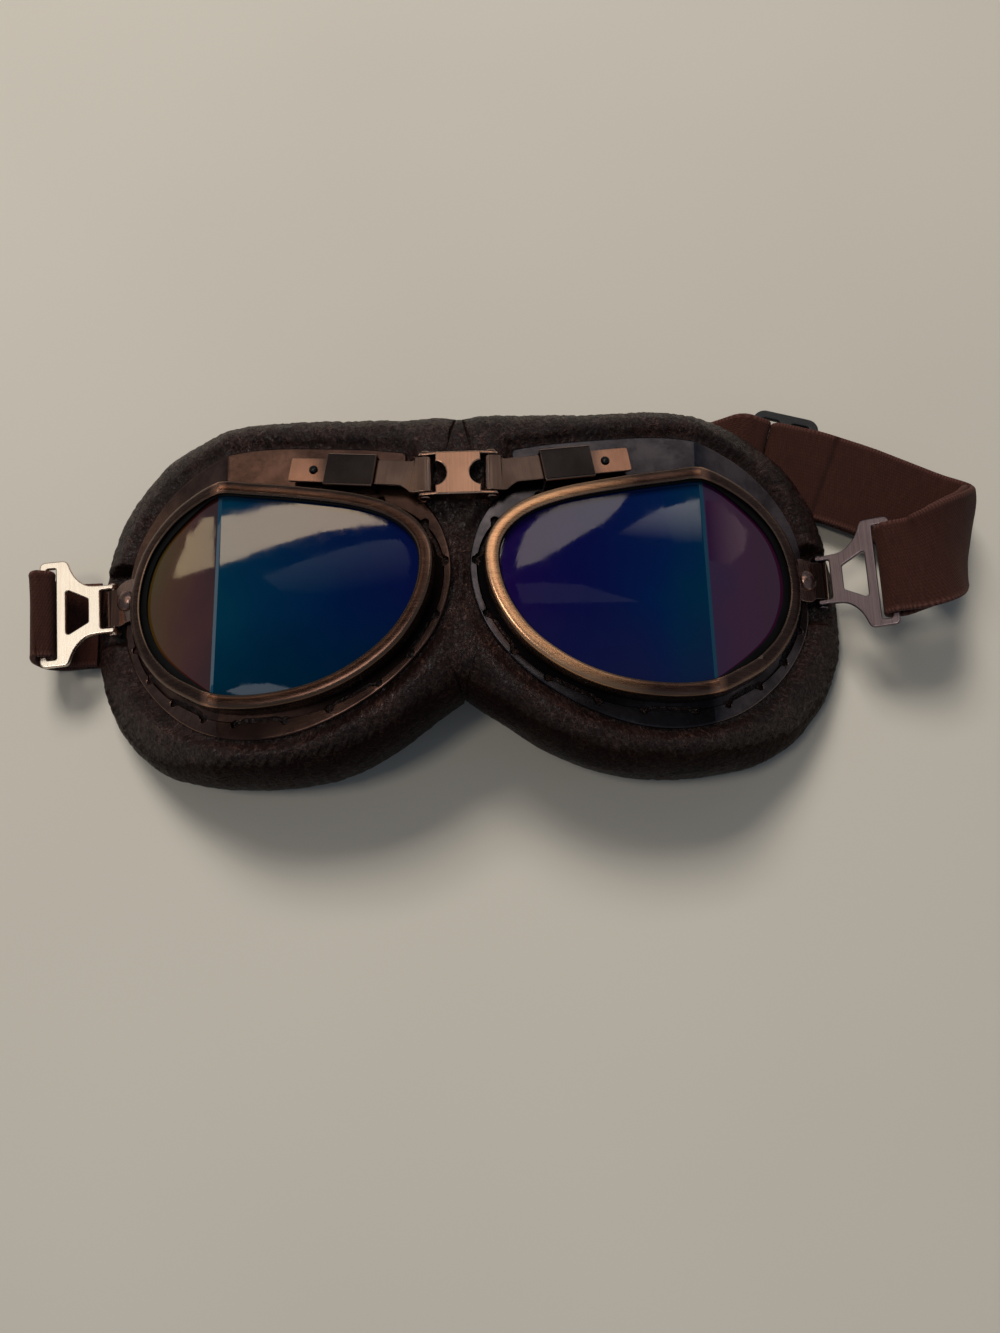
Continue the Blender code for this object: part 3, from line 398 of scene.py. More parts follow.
def tube(sections, attr=None, ends=True, shape=None):
    """Joins closed sections into a tube with flat ends."""
    shape = shape or Mesh()
    s = np.asarray(sections, float)
    n, m = s.shape[:2]
    faces = []
    for i in range(n - 1):
        for k in range(m):
            l = (k + 1) % m
            faces.append([i * m + k, (i + 1) * m + k, (i + 1) * m + l, i * m + l])
    if ends:
        faces.append(list(range(m))[::-1])
        faces.append([(n - 1) * m + k for k in range(m)])
    return shape.add(s.reshape(-1, 3), faces, attr)


def edge_section(half, t, b, segs=3):
    """Points of a flat strip's cross-section with rounded long edges, as (across, up)."""
    out = []
    for cx, cy, a0 in ((half - b, t / 2 - b, 0.0), (-half + b, t / 2 - b, 90.0), (-half + b, -t / 2 + b, 180.0), (half - b, -t / 2 + b, 270.0)):
        out += arc(cx, cy, b, a0, a0 + 90.0, segs + 1)
    return np.array(out)


def strip(centres, widths, half, t, b=0.25, shape=None):
    """A flat metal strip along a line, with rounded edges."""
    c, w = np.array(centres, float), np.array(widths, float)
    h = np.full(len(c), half, float) if np.isscalar(half) else np.array(half, float)
    tan = np.gradient(c, axis=0)
    s = np.concatenate([[0], np.cumsum(np.linalg.norm(np.diff(c, axis=0), axis=1))])
    sections, attr = [], []
    for i in range(len(c)):
        d = unit(tan[i])
        side = unit(w[i] - d * np.dot(w[i], d))
        up = np.cross(d, side)
        sec = edge_section(h[i], t, b)
        sections.append([c[i] + side * a + up * z for a, z in sec])
        attr += [(s[i], a, z) for a, z in sec]
    return tube(sections, attr, shape=shape)


def lathe(centre, axis, profile, n=40, shape=None):
    shape = shape or Mesh()
    axis = unit(axis)
    a = unit(np.cross(axis, (0.0, 1.0, 0.0) if abs(axis[1]) < 0.9 else (1.0, 0.0, 0.0)))
    b = np.cross(axis, a)
    c = np.array(centre, float)
    verts, rows, attr = [], [], []
    for r, h in profile:
        count = 1 if r < 1e-9 else n
        rows.append(list(range(len(verts), len(verts) + count)))
        for k in range(count):
            w = 2 * math.pi * k / n
            verts.append(c + axis * h + r * (a * math.cos(w) + b * math.sin(w)))
            attr.append((r * math.cos(w), r * math.sin(w), h))
    faces = []
    for one, two in zip(rows, rows[1:]):
        for k in range(n):
            l = (k + 1) % n
            if len(one) == 1:
                faces.append([one[0], two[k], two[l]])
            elif len(two) == 1:
                faces.append([one[k], one[l], two[0]])
            else:
                faces.append([one[k], one[l], two[l], two[k]])
    for row, turn in ((rows[0], -1), (rows[-1], 1)):
        if len(row) > 1:
            faces.append(row[::turn])
    return shape.add(verts, faces, attr)


# ---- materials ---------------------------------------------------------------------------------
class Graph:
    """A small helper for node materials."""

    def __init__(self, name):
        self.mat = bpy.data.materials.new(name)
        self.mat.use_nodes = True
        self.t = self.mat.node_tree
        self.bsdf = self.t.nodes["Principled BSDF"]

    def n(self, kind, **kw):
        node = self.t.nodes.new(kind)
        for k, v in kw.items():
            setattr(node, k, v)
        return node

    def link(self, a, b):
        self.t.links.new(a, b)

    def put(self, socket, value):
        if isinstance(value, bpy.types.NodeSocket):
            self.link(value, socket)
        else:
            socket.default_value = value

    def lay(self):
        return self.n("ShaderNodeAttribute", attribute_name="lay").outputs["Vector"]

    def obj(self):
        return self.n("ShaderNodeTexCoord").outputs["Object"]

    def scale(self, vec, s):
        m = self.n("ShaderNodeMapping")
        self.link(vec, m.inputs["Vector"])
        m.inputs["Scale"].default_value = s if hasattr(s, "__len__") else (s, s, s)
        return m.outputs["Vector"]

    def noise(self, vec, scale, detail=4.0, rough=0.55, distortion=0.0):
        k = self.n("ShaderNodeTexNoise")
        self.link(vec, k.inputs["Vector"])
        k.inputs["Scale"].default_value = scale
        k.inputs["Detail"].default_value = detail
        k.inputs["Roughness"].default_value = rough
        k.inputs["Distortion"].default_value = distortion
        return k.outputs["Fac"]

    def voronoi(self, vec, scale, feature="F1", out="Distance", rand=1.0):
        k = self.n("ShaderNodeTexVoronoi", feature=feature)
        self.link(vec, k.inputs["Vector"])
        k.inputs["Scale"].default_value = scale
        k.inputs["Randomness"].default_value = rand
        return k.outputs[out]

    def math(self, op, a, b=0.0, c=0.0, clamp=False):
        k = self.n("ShaderNodeMath", operation=op, use_clamp=clamp)
        for s, v in zip(k.inputs, (a, b, c)):
            self.put(s, v)
        return k.outputs[0]

    def ramp(self, fac, stops, interp="LINEAR"):
        k = self.n("ShaderNodeValToRGB")
        self.put(k.inputs["Fac"], fac)
        r = k.color_ramp
        r.interpolation = interp
        while len(r.elements) < len(stops):
            r.elements.new(0.5)
        for e, (pos, col) in zip(r.elements, stops):
            e.position = pos
            e.color = (*col, 1.0) if hasattr(col, "__len__") else (col, col, col, 1.0)
        return k.outputs["Color"]

    def mix(self, fac, a, b, mode="MIX"):
        k = self.n("ShaderNodeMix", data_type="RGBA", blend_type=mode)
        self.put(k.inputs[0], fac)
        for s, v in ((k.inputs[6], a), (k.inputs[7], b)):
            if not isinstance(v, bpy.types.NodeSocket):
                v = (*v, 1.0)
            self.put(s, v)
        return k.outputs[2]

    def range(self, v, a, b, c=0.0, d=1.0):
        k = self.n("ShaderNodeMapRange")
        for s, x in zip(k.inputs, (v, a, b, c, d)):
            self.put(s, x)
        return k.outputs[0]

    def xyz(self, vec):
        k = self.n("ShaderNodeSeparateXYZ")
        self.link(vec, k.inputs[0])
        return k.outputs

    def join(self, x, y, z):
        k = self.n("ShaderNodeCombineXYZ")
        for s, v in zip(k.inputs, (x, y, z)):
            self.put(s, v)
        return k.outputs[0]

    def bump(self, height, strength=0.5, dist=0.0002, after=None):
        k = self.n("ShaderNodeBump")
        self.put(k.inputs["Height"], height)
        k.inputs["Strength"].default_value = strength
        k.inputs["Distance"].default_value = dist
        if after is not None:
            self.link(after, k.inputs["Normal"])
        return k.outputs["Normal"]

    def set(self, **kw):
        for k, v in kw.items():
            self.put(self.bsdf.inputs[k.replace("_", " ")], v)
        return self.mat


def metal(name, light, mid, dark, rough=0.3, along=None, streak=0.35, edge=0.5, spots=0.3, channel_shade=False, wear_and_glint=None, zone=None, wall=False, folds=None, plate=None):
    """Plated metal, brushed along one axis of the piece's own layout.

    wear_and_glint: colour of the lighter edges, rubbed wear together with a painted highlight along them; zone: (axis,
    from, to, light, mid, dark) for colours that change along the piece, on the right rim from a painted gold reflection
    by the nose to dark bronze further out; wall: painted shade, near black, on the rim's outer wall; folds: painted
    highlight, lighter copper, at the fold corners; recess: painted shade, near black, in the channel beside the rim;
    plate: its lighter edges are found by their slope, because a plate has no points inside its faces.
    """
    g = Graph(name)
    pos = g.obj()
    lay = g.lay()
    stretch = {"x": (0.05, 9.0, 9.0), "y": (9.0, 0.05, 9.0), None: (3.0, 3.0, 3.0)}.get(along)
    if along == "level":  # one direction over the whole piece
        lay_from, stretch = g.scale(pos, 1000.0), (0.10, 5.0, 1.0)
    else:
        lay_from = lay
    lines = g.noise(g.scale(lay_from, stretch), 1.0, 3.0, 0.7)
    coarse = g.noise(g.scale(lay_from, tuple(s * 0.25 for s in stretch)), 1.0, 2.0, 0.6)
    cloud = g.noise(g.scale(pos, 1000.0), 0.09, 3.0, 0.6)
    tone = g.math("ADD", g.math("MULTIPLY", lines, 0.55), g.math("MULTIPLY", coarse, 0.45))
    tone = g.math("ADD", tone, g.math("MULTIPLY", g.math("SUBTRACT", cloud, 0.5), spots * 2.0), clamp=True)
    base = g.ramp(tone, [(0.22, dark), (0.5, mid), (0.80, light)])
    here = g.xyz(g.scale(pos, 1000.0))
    place = [g.math("ABSOLUTE", g.math("ADD", here[0], ORIGIN[0])), g.math("ADD", here[1], ORIGIN[1]), here[2]]
    if zone:
        other = g.ramp(tone, [(0.22, zone[5]), (0.5, zone[4]), (0.80, zone[3])])
        wave = g.math("MULTIPLY", g.math("SUBTRACT", cloud, 0.5), 0.35 * abs(zone[2] - zone[1]))
        base = g.mix(g.range(g.math("ADD", place[zone[0]], wave), zone[1], zone[2]), base, other)
    # Painted highlight: lighter copper on the rounded corners either side of the fold.
    if folds:
        near = g.math("ABSOLUTE", g.math("SUBTRACT", place[0], KINK_X))
        base = g.mix(g.math("MULTIPLY", g.range(near, 2.6, 0.5), 0.8), base, folds)
    about = g.n("ShaderNodeNewGeometry")
    # Lighter edges: rubbed wear together with a painted highlight along the edges and bevels.
    wear_and_glint = wear_and_glint or tuple(min(1.0, c * 1.35 + 0.05) for c in light)
    if plate:
        slope = g.math("ABSOLUTE", g.xyz(about.outputs["Normal"])[2])
        rub_and_glint = g.math("MULTIPLY", g.range(slope, *plate), g.range(slope, 0.12, 0.35))
        base = g.mix(g.math("MULTIPLY", rub_and_glint, edge, clamp=True), base, wear_and_glint)
    else:
        point = about.outputs["Pointiness"]
        base = g.mix(g.math("MULTIPLY", g.range(point, 0.51, 0.565), edge, clamp=True), base, wear_and_glint)
        pit = g.range(point, 0.495, 0.44)
        base = g.mix(g.math("MULTIPLY", pit, 0.6, clamp=True), base, tuple(c * 0.35 for c in dark))
    r = g.range(lines, 0.3, 0.7, rough - 0.04, rough + 0.05)
    # Painted shade: the rim's outer wall is darkened almost to black.
    if wall:
        side = g.math("MULTIPLY", g.range(g.xyz(lay)[1], -0.50, -0.10), g.range(g.xyz(lay)[2], 4.6, 2.2, 0.45, 1.0))
        base = g.mix(g.math("MULTIPLY", side, 0.92), base, (0.010, 0.008, 0.008))
    if channel_shade:  # painted shade: the channel beside the rim is darkened almost to black, most by the nose
        sunk = g.xyz(lay)[2]
        base = g.mix(g.math("MULTIPLY", sunk, 0.93, clamp=True), base, (0.004, 0.0035, 0.0035))
        r = g.math("ADD", r, g.math("MULTIPLY", sunk, 0.3), clamp=True)
    bump = g.bump(lines, streak, 0.00003)
    return g.set(Base_Color=base, Metallic=1.0, Roughness=r, Normal=bump)


def leather_material():
    """Dark brown crinkled leather: a net of raised, rubbed creases over dark hollows, longer wrinkles across the roll.
    The rubbed creases are painted lighter where the surface faces up, a painted highlight along the top of the roll.
    """
    g = Graph("leather_brown")
    p = g.lay()
    run = g.n("ShaderNodeAttribute", attribute_name="run").outputs["Vector"]
    warp = g.n("ShaderNodeTexNoise")
    g.link(p, warp.inputs["Vector"])
    warp.inputs["Scale"].default_value = 0.55
    warp.inputs["Detail"].default_value = 3.0
    off = g.n("ShaderNodeVectorMath", operation="MULTIPLY_ADD")
    g.link(warp.outputs["Color"], off.inputs[0])
    off.inputs[1].default_value = (1.6, 1.6, 1.6)
    g.link(p, off.inputs[2])
    q = off.outputs[0]
    cells = g.voronoi(q, 0.50, "DISTANCE_TO_EDGE")
    net = g.range(cells, 0.060, 0.012)
    one = g.noise(q, 0.42, 2.0, 0.5, 0.6)
    two = g.noise(q, 0.85, 2.0, 0.5, 0.6)
    one = g.range(g.math("ABSOLUTE", g.math("SUBTRACT", one, 0.5)), 0.026, 0.005)
    two = g.range(g.math("ABSOLUTE", g.math("SUBTRACT", two, 0.48)), 0.024, 0.005)
    lines = g.noise(g.scale(run, (0.62, 0.13, 1.0)), 1.0, 3.0, 0.6, 0.5)
    lines = g.range(g.math("ABSOLUTE", g.math("SUBTRACT", lines, 0.5)), 0.030, 0.006)
    where = g.noise(p, 0.085, 3.0, 0.6)
    across = g.math("MULTIPLY", lines, g.range(where, 0.42, 0.58))
    crease = g.math("MAXIMUM", g.math("MULTIPLY", net, 0.8), g.math("MAXIMUM", g.math("MULTIPLY", one, 0.5), g.math("MAXIMUM", g.math("MULTIPLY", two, 0.35), across)))
    grain = g.noise(p, 4.5, 3.0, 0.6)
    lumps = g.noise(q, 0.42, 4.0, 0.6)
    h = g.math("ADD", g.math("MULTIPLY", crease, 0.65), g.math("MULTIPLY", grain, 0.12))
    h = g.math("ADD", h, g.math("MULTIPLY", lumps, 0.8))
    pebble = g.voronoi(g.scale(q, 1.0), 0.80)
    h = g.math("ADD", h, g.math("MULTIPLY", pebble, -0.34))
    crown = g.range(pebble, 0.62, 0.20, 0.70, 1.0)  # the tops of the fine pebbles
    tone = g.noise(p, 0.07, 4.0, 0.6)
    base = g.ramp(tone, [(0.32, (0.0074, 0.0037, 0.0034)), (0.52, (0.0106, 0.0051, 0.0046)), (0.72, (0.0165, 0.0079, 0.0068))])
    patch = g.range(g.noise(p, 0.12, 3.0, 0.6), 0.38, 0.62, 0.25, 1.0)
    rub_and_glint = g.math("MULTIPLY", crease, g.range(g.math("ADD", grain, g.math("MULTIPLY", lumps, 0.8)), 0.62, 1.10, 0.12, 1.0), clamp=True)
    level = g.xyz(g.n("ShaderNodeNewGeometry").outputs["Normal"])[2]
    up = g.range(level, 0.58, 0.985, 0.03, 1.0)  # the top is polished, the flanks stay dull
    # The rubbed creases are wear, and they are painted lighter where the surface faces up: a painted highlight along
    # the top of the roll.
    rub_and_glint = g.math("MULTIPLY", g.math("MULTIPLY", rub_and_glint, patch), g.range(level, 0.20, 0.90, 0.20, 1.0))
    base = g.mix(crown, (0.0046, 0.0023, 0.0021), base)
    base = g.mix(rub_and_glint, base, (0.096, 0.045, 0.035))
    rough = g.range(g.math("ADD", lumps, g.math("MULTIPLY", grain, 0.5)), 0.5, 1.0, 0.34, 0.24)
    shine = g.math("ADD", g.math("MULTIPLY", crease, 0.30), g.math("MULTIPLY_ADD", crown, 0.90, -0.36))
    g.put(g.bsdf.inputs["Specular IOR Level"], g.math("MULTIPLY", shine, up))
    return g.set(Base_Color=base, Roughness=rough, Normal=g.bump(h, 1.0, 0.00050))


def elastic_material():
    g = Graph("elastic_brown")
    lay = g.xyz(g.lay())  # x along the strap, y across it, z marks the bound edge
    u, v = lay[0], lay[1]
    cord = g.math("SINE", g.math("MULTIPLY", v, 2 * math.pi / 0.92))
    pick = g.math("SINE", g.math("ADD", g.math("MULTIPLY", u, 2 * math.pi / 0.62), g.math("MULTIPLY", v, 3.4)))
    weave = g.math("ADD", g.math("MULTIPLY", cord, 0.14), g.math("MULTIPLY", g.math("MULTIPLY", pick, cord), 0.45))
    vec = g.join(u, v, 0.0)
    fuzz = g.noise(vec, 2.6, 4.0, 0.7)
    slow = g.noise(vec, 0.16, 3.0, 0.6)
    bars = g.noise(g.scale(vec, (2.6, 0.25, 1.0)), 1.0, 3.0, 0.6)
    tone = g.math("ADD", g.math("MULTIPLY", g.math("ADD", weave, 1.0), 0.22), g.math("MULTIPLY", fuzz, 0.45))
    tone = g.math("ADD", tone, g.math("MULTIPLY", g.math("SUBTRACT", bars, 0.5), 0.5))
    base = g.ramp(tone, [(0.20, (0.0110, 0.0036, 0.0028)), (0.48, (0.034, 0.0112, 0.0080)), (0.80, (0.070, 0.0250, 0.0175))])
    base = g.mix(g.range(slow, 0.35, 0.7, 0.0, 0.35), base, (0.024, 0.0078, 0.006))
    cordy = g.math("SINE", g.math("MULTIPLY", u, 2 * math.pi / 0.8))
    bound = g.ramp(g.math("ADD", g.math("MULTIPLY", cordy, 0.15), fuzz), [(0.3, (0.036, 0.0125, 0.010)), (0.75, (0.092, 0.038, 0.030))])
    base = g.mix(g.math("MAXIMUM", lay[2], 0.0), base, bound)
    base = g.mix(g.math("MULTIPLY", g.math("MAXIMUM", g.math("MULTIPLY", lay[2], -1.0), 0.0), 0.8), base, (0.006, 0.0026, 0.0022))
    h = g.math("ADD", weave, g.math("MULTIPLY", fuzz, 0.9))
    h = g.math("ADD", h, g.math("MULTIPLY", g.math("MULTIPLY", cordy, lay[2]), 0.4))
    g.bsdf.inputs["Specular IOR Level"].default_value = 0.25
    g.bsdf.inputs["Sheen Weight"].default_value = 0.05
    g.bsdf.inputs["Sheen Roughness"].default_value = 0.5
    g.bsdf.inputs["Sheen Tint"].default_value = (0.75, 0.42, 0.32, 1.0)
    return g.set(Base_Color=base, Roughness=0.86, Normal=g.bump(h, 0.7, 0.00016))


def lens_material(name, left):
    """Smoked sheet with a tinted mirror coat: blue in front, violet by the nose, warm tones at the side."""
    g = Graph(name)
    x, y, _ = g.xyz(g.scale(g.obj(), 1000.0))
    x = g.math("ADD", x, ORIGIN[0])
    y = g.math("ADD", y, ORIGIN[1])
    ax = g.math("ABSOLUTE", x)
    pos = g.scale(g.obj(), 1000.0)
    wob = g.noise(pos, 0.045, 2.0, 0.5)
    along = g.math("ADD", ax, g.math("MULTIPLY", g.math("SUBTRACT", wob, 0.5), 22.0))
    up = g.range(g.math("ADD", y, g.math("MULTIPLY", g.math("SUBTRACT", wob, 0.5), 26.0)), -24.0, 26.0)
    if left:
        front = g.ramp(g.range(along, 8.0, 60.0), [(0.0, (0.0022, 0.0045, 0.0440)), (0.4, (0.0006, 0.0080, 0.0460)), (0.8, (0.0006, 0.0186, 0.0546)), (1.0, (0.0006, 0.0260, 0.0570))])
        side = g.ramp(g.range(along, 59.0, 80.0), [(0.0, (0.0217, 0.0056, 0.0074)), (0.3, (0.0384, 0.0087, 0.0081)), (0.65, (0.0508, 0.0186, 0.0050)), (1.0, (0.0484, 0.0298, 0.0074))])
        dusk = (0.0000, 0.0124, 0.0279)
    else:
        front = g.ramp(g.range(along, 8.0, 60.0), [(0.0, (0.0095, 0.0028, 0.0500)), (0.4, (0.0028, 0.0045, 0.0520)), (0.8, (0.0012, 0.0112, 0.0620)), (1.0, (0.0006, 0.0211, 0.0527))])
        side = g.ramp(g.range(along, 59.0, 80.0), [(0.0, (0.0223, 0.0043, 0.0372)), (0.4, (0.0341, 0.0043, 0.0279)), (1.0, (0.0310, 0.0056, 0.0236))])
        dusk = (0.0074, 0.0099, 0.0465)
    front = g.mix(g.range(up, 0.45, 0.0, 0.0, 0.75), front, dusk)
    base = g.mix(g.math("GREATER_THAN", ax, KINK_X + 0.4), front, side)
    crease = g.math("MULTIPLY", g.math("GREATER_THAN", ax, KINK_X - 0.5), g.math("LESS_THAN", ax, KINK_X + 0.4))
    base = g.mix(crease, base, (0.0000, 0.0310, 0.0651))
    smear = g.noise(g.scale(g.obj(), (700.0, 1500.0, 700.0)), 0.12, 5.0, 0.65, 1.2)
    rough = g.range(smear, 0.4, 0.75, 0.015, 0.05)
    g.bsdf.inputs["IOR"].default_value = 1.6
    return g.set(Base_Color=base, Roughness=rough)


def plain(name, colour, rough, grain=0.3, scale=1.5, metallic=0.0, dist=0.00005, shine=0.5):
    g = Graph(name)
    g.bsdf.inputs["Specular IOR Level"].default_value = shine
    p = g.scale(g.obj(), 1000.0)
    k = g.noise(p, scale, 5.0, 0.6)
    slow = g.noise(p, scale * 0.08, 3.0, 0.6)
    base = g.mix(g.range(slow, 0.35, 0.7), tuple(c * 0.75 for c in colour), tuple(min(1.0, c * 1.3) for c in colour))
    return g.set(Base_Color=base, Metallic=metallic, Roughness=g.range(k, 0.3, 0.7, rough - 0.06, rough + 0.08), Normal=g.bump(k, grain, dist))


DARK_RIM = ((0.175, 0.096, 0.070), (0.098, 0.053, 0.040), (0.046, 0.025, 0.020))
# Painted reflection: the right rim is coloured bright gold by the nose, where it would reflect the light, turning to
# DARK_RIM further out.
GOLD_RIM_GLEAM = ((0.92, 0.54, 0.30), (0.78, 0.42, 0.225), (0.50, 0.24, 0.13))
RIM_METAL = {
    "left": metal("rim_bronze_left", (0.140, 0.076, 0.055), (0.078, 0.042, 0.031), (0.036, 0.020, 0.016), 0.24, "level", 0.06, 0.55, 0.25, wear_and_glint=(0.62, 0.40, 0.27), wall=True, folds=(0.50, 0.24, 0.15)),
    "right": metal("rim_bronze_right_gleam", *GOLD_RIM_GLEAM, 0.28, "level", 0.06, 0.55, 0.25, wear_and_glint=(0.62, 0.40, 0.27), wall=True, folds=(0.50, 0.24, 0.15), zone=(0, 24.0, 45.0, *DARK_RIM)),
}
CUP_METAL = {
    "left": metal(
        "cup_bronze", (0.135, 0.077, 0.060), (0.078, 0.045, 0.036), (0.0400, 0.0245, 0.0205), 0.21, None, 0.04, 0.8, 0.7, True, wear_and_glint=(0.30, 0.165, 0.115), plate=(0.80, 0.60),
        zone=(0, 60.4, 66.0, (0.215, 0.120, 0.088), (0.132, 0.072, 0.054), (0.064, 0.036, 0.028)),
    ),
    "right": metal(
        "cup_gunmetal", (0.086, 0.078, 0.086), (0.050, 0.045, 0.051), (0.0270, 0.0245, 0.0280), 0.21, None, 0.04, 0.8, 0.7, True, wear_and_glint=(0.20, 0.15, 0.13), plate=(0.80, 0.60),
        zone=(0, 60.4, 66.0, (0.200, 0.146, 0.138), (0.122, 0.089, 0.086), (0.060, 0.044, 0.043)),
    ),
}
ARM_METAL = metal(
    "arm_copper", (0.170, 0.115, 0.092), (0.100, 0.067, 0.055), (0.050, 0.033, 0.027), 0.20, "y", 0.08, 0.8, 0.3, wear_and_glint=(0.60, 0.40, 0.30), plate=(0.965, 0.90),
    zone=(0, 33.0, 37.0, (0.46, 0.25, 0.165), (0.34, 0.175, 0.115), (0.20, 0.092, 0.060)),
)
BRACKET_METAL = metal("bracket_bronze", (0.085, 0.050, 0.040), (0.050, 0.029, 0.024), (0.026, 0.016, 0.0135), 0.24, "y", 0.08, 0.8, 0.3, wear_and_glint=(0.50, 0.32, 0.25), plate=(0.965, 0.90))
RIVET_METAL = metal("rivet_copper", (0.34, 0.21, 0.17), (0.24, 0.145, 0.118), (0.14, 0.08, 0.066), 0.26, None, 0.04, 0.5, 0.3)
TAB_METAL = metal("bridge_copper", (0.46, 0.26, 0.17), (0.34, 0.185, 0.122), (0.19, 0.098, 0.066), 0.20, "y", 0.08, 0.8, 0.25, wear_and_glint=(0.85, 0.55, 0.40), plate=(0.965, 0.90))
SLEEVE_METAL = metal("sleeve_black", (0.040, 0.032, 0.031), (0.023, 0.0185, 0.018), (0.012, 0.0098, 0.0095), 0.20, "y", 0.10, 0.9, 0.3, wear_and_glint=(0.34, 0.22, 0.17), plate=(0.965, 0.90))
# Painted light: both clips are the same metal; the left one is painted bright cream as the lit copy, the right one
# darker mauve as the shaded copy.
CLIP_METAL = {
    "left": metal("clip_cream_lit", (0.98, 0.92, 0.82), (0.93, 0.84, 0.73), (0.78, 0.65, 0.54), 0.27, "y", 0.04, 0.8, 0.2, wear_and_glint=(0.72, 0.40, 0.27), plate=(0.965, 0.90)),
    "right": metal("clip_mauve_shaded", (0.28, 0.225, 0.235), (0.21, 0.165, 0.175), (0.14, 0.105, 0.112), 0.30, "y", 0.04, 0.0, 0.2, wear_and_glint=(0.70, 0.55, 0.50), plate=(0.965, 0.90)),
}
BLACK_METAL = metal("screw_black", (0.05, 0.05, 0.05), (0.022, 0.022, 0.022), (0.01, 0.01, 0.01), 0.22, None, 0.1, 0.4, 0.2)
LEATHER = leather_material()
ELASTIC = elastic_material()
LENS = {"left": lens_material("lens_left", True), "right": lens_material("lens_right", False)}
RUBBER = plain("gasket_black", (0.0028, 0.0028, 0.0030), 0.60, 0.3, 1.2, shine=0.12)
PLASTIC = plain("adjuster_black", (0.011, 0.011, 0.013), 0.38, 0.25, 1.0)

# ---- outlines ----------------------------------------------------------------------------------
rim = kinked(resample(spline(RIM, True, 24), 440, True))
rim_n = fold_normals(rim)
flange = kinked(resample(spline(FLANGE, False, 24), 380, False))
tab_at = int(np.argmin(np.hypot(flange[:, 0] - 91.0, flange[:, 1] - RIVET[1])))
lug = arc(91.4, RIVET[1] + 3.6, 1.2, 90, 0, 6) + arc(91.4, RIVET[1] - 3.6, 1.2, 0, -90, 6)
clear = [i for i in range(len(flange)) if not (flange[i, 0] > 88.0 and abs(flange[i, 1] - RIVET[1]) < 5.6)]
first = max(i for i in clear if i < tab_at)
flange = np.vstack([flange[: first + 1], lug, flange[[i for i in clear if i > first]]])
flange = np.vstack([flange, [flange[-1] + (flange[0] - flange[-1]) * k / 8 for k in range(1, 8)]])
flange_n = fold_normals(flange)
roll = resample(spline(ROLL, False, 24), 500, False)


def vent(p, q):
    """A slot along the rim, with a round hole at each end."""
    run = np.concatenate([[0], np.cumsum(np.linalg.norm(np.diff(np.vstack([rim, rim[:1]]), axis=0), axis=1))])
    total = run[-1]
    i = int(np.argmin(np.hypot(*(rim - p).T)))
    j = int(np.argmin(np.hypot(*(rim - q).T)))
    if (j - i) % len(rim) > len(rim) // 2:
        i, j = j, i
    s0, s1 = run[i], run[j] if run[j] > run[i] else run[j] + total
    r, w = 0.98, 0.50
    lead = np.linspace(0, 2.6, 15)
    sm = np.concatenate([s0 - r * np.cos(lead), np.linspace(s0 + r * 1.1, s1 - r * 1.1, 16), s1 + r * np.cos(lead[::-1])])
    ext = np.vstack([rim, rim, rim[:1]])
    exn = np.vstack([rim_n, rim_n, rim_n[:1]])
    er = np.concatenate([run[:-1], run[:-1] + total, [2 * total]])
    s = sm % total
    c = np.stack([np.interp(s, er, ext[:, k]) for k in (0, 1)], 1)
    n = np.stack([np.interp(s, er, exn[:, k]) for k in (0, 1)], 1)
    ds = np.minimum(np.abs(sm - s0), np.abs(sm - s1))
    c = c + n * (1.30 + 0.95 * smooth(1.0 - (ds - 0.5) / 1.5))[:, None]
    h = np.where(ds < r, np.sqrt(np.maximum(r * r - ds * ds, 0.0)), 0.0)
    between = (sm > s0) & (sm < s1)
    h = np.where(between, np.maximum(h, w), h)
    h = np.maximum(h, 0.05)
    return np.vstack([c + n * h[:, None], (c - n * h[:, None])[::-1]])


vents = [vent(np.array(p), np.array(q)) for p, q in VENTS]


def cup():
    """Stamped frame: a sloped flange with a rolled edge and a sunk channel with vents beside the rim."""
    fold = [np.array(((KINK_X, -60.0), (KINK_X, 60.0)))]
    insets = [0.035, 0.11, 0.22, 0.36, 0.5]
    steps = [2.06, 1.98, 1.90, 1.82, 1.74]
    lines = [(flange - flange_n * o, True) for o in insets]
    lines += [(rim + rim_n * o, True) for o in steps]
    lines += [(v + outward(v) * 0.14, True) for v in vents] + [(f, False) for f in fold]
    inner = rim + rim_n * -1.8

    def drop(v):
        out = np.hypot(*(v - RIVET).T) * 0.0
        d_rim = distance(v, rim)
        out += 0.85 * (1.0 - smooth((d_rim - 1.72) / 0.36))
        out += round_off(distance(v, flange), 0.5)
        for hole in vents:
            near = np.abs(v - hole.mean(0)).max(1) < 14.0
            d = np.full(len(v), 9.0)
            d[near] = distance(v[near], hole)
            out += 0.10 * (1.0 - smooth(d / 0.14))
        return out

    def top(v):
        return flange_z(v[:, 0]) - drop(v)

    def bottom(v):
        return flange_z(v[:, 0]) - 1.3 + 0.25 * (1.0 - smooth(distance(v, flange) / 0.3))

    # Painted shade for the channel beside the rim: full by the nose, weaker further out.
    def channel_shade_info(v):
        d_rim = distance(v, rim)
        return (1.0 - smooth((d_rim - 1.78) / 0.3)) * (1.0 - 0.6 * smooth((v[:, 0] - 30.0) / 20.0))

    return sheet(flange, [inner] + vents, lines, top, bottom, channel_shade_info)


def collar():
    zr, zf = rim_z, flange_z
    profile = [
        (-1.5, lambda x: zf(x) - 1.2), (-1.5, lambda x: zr(x) - 5.5), (-1.6, lambda x: zr(x) - 5.4), (-2.4, lambda x: zr(x) - 5.4),
        (-2.5, lambda x: zr(x) - 5.5), (-2.5, lambda x: zf(x) - 1.2), (-2.4, lambda x: zf(x) - 1.32), (-1.6, lambda x: zf(x) - 1.32),
    ]
    return ring(rim, rim_n, profile)


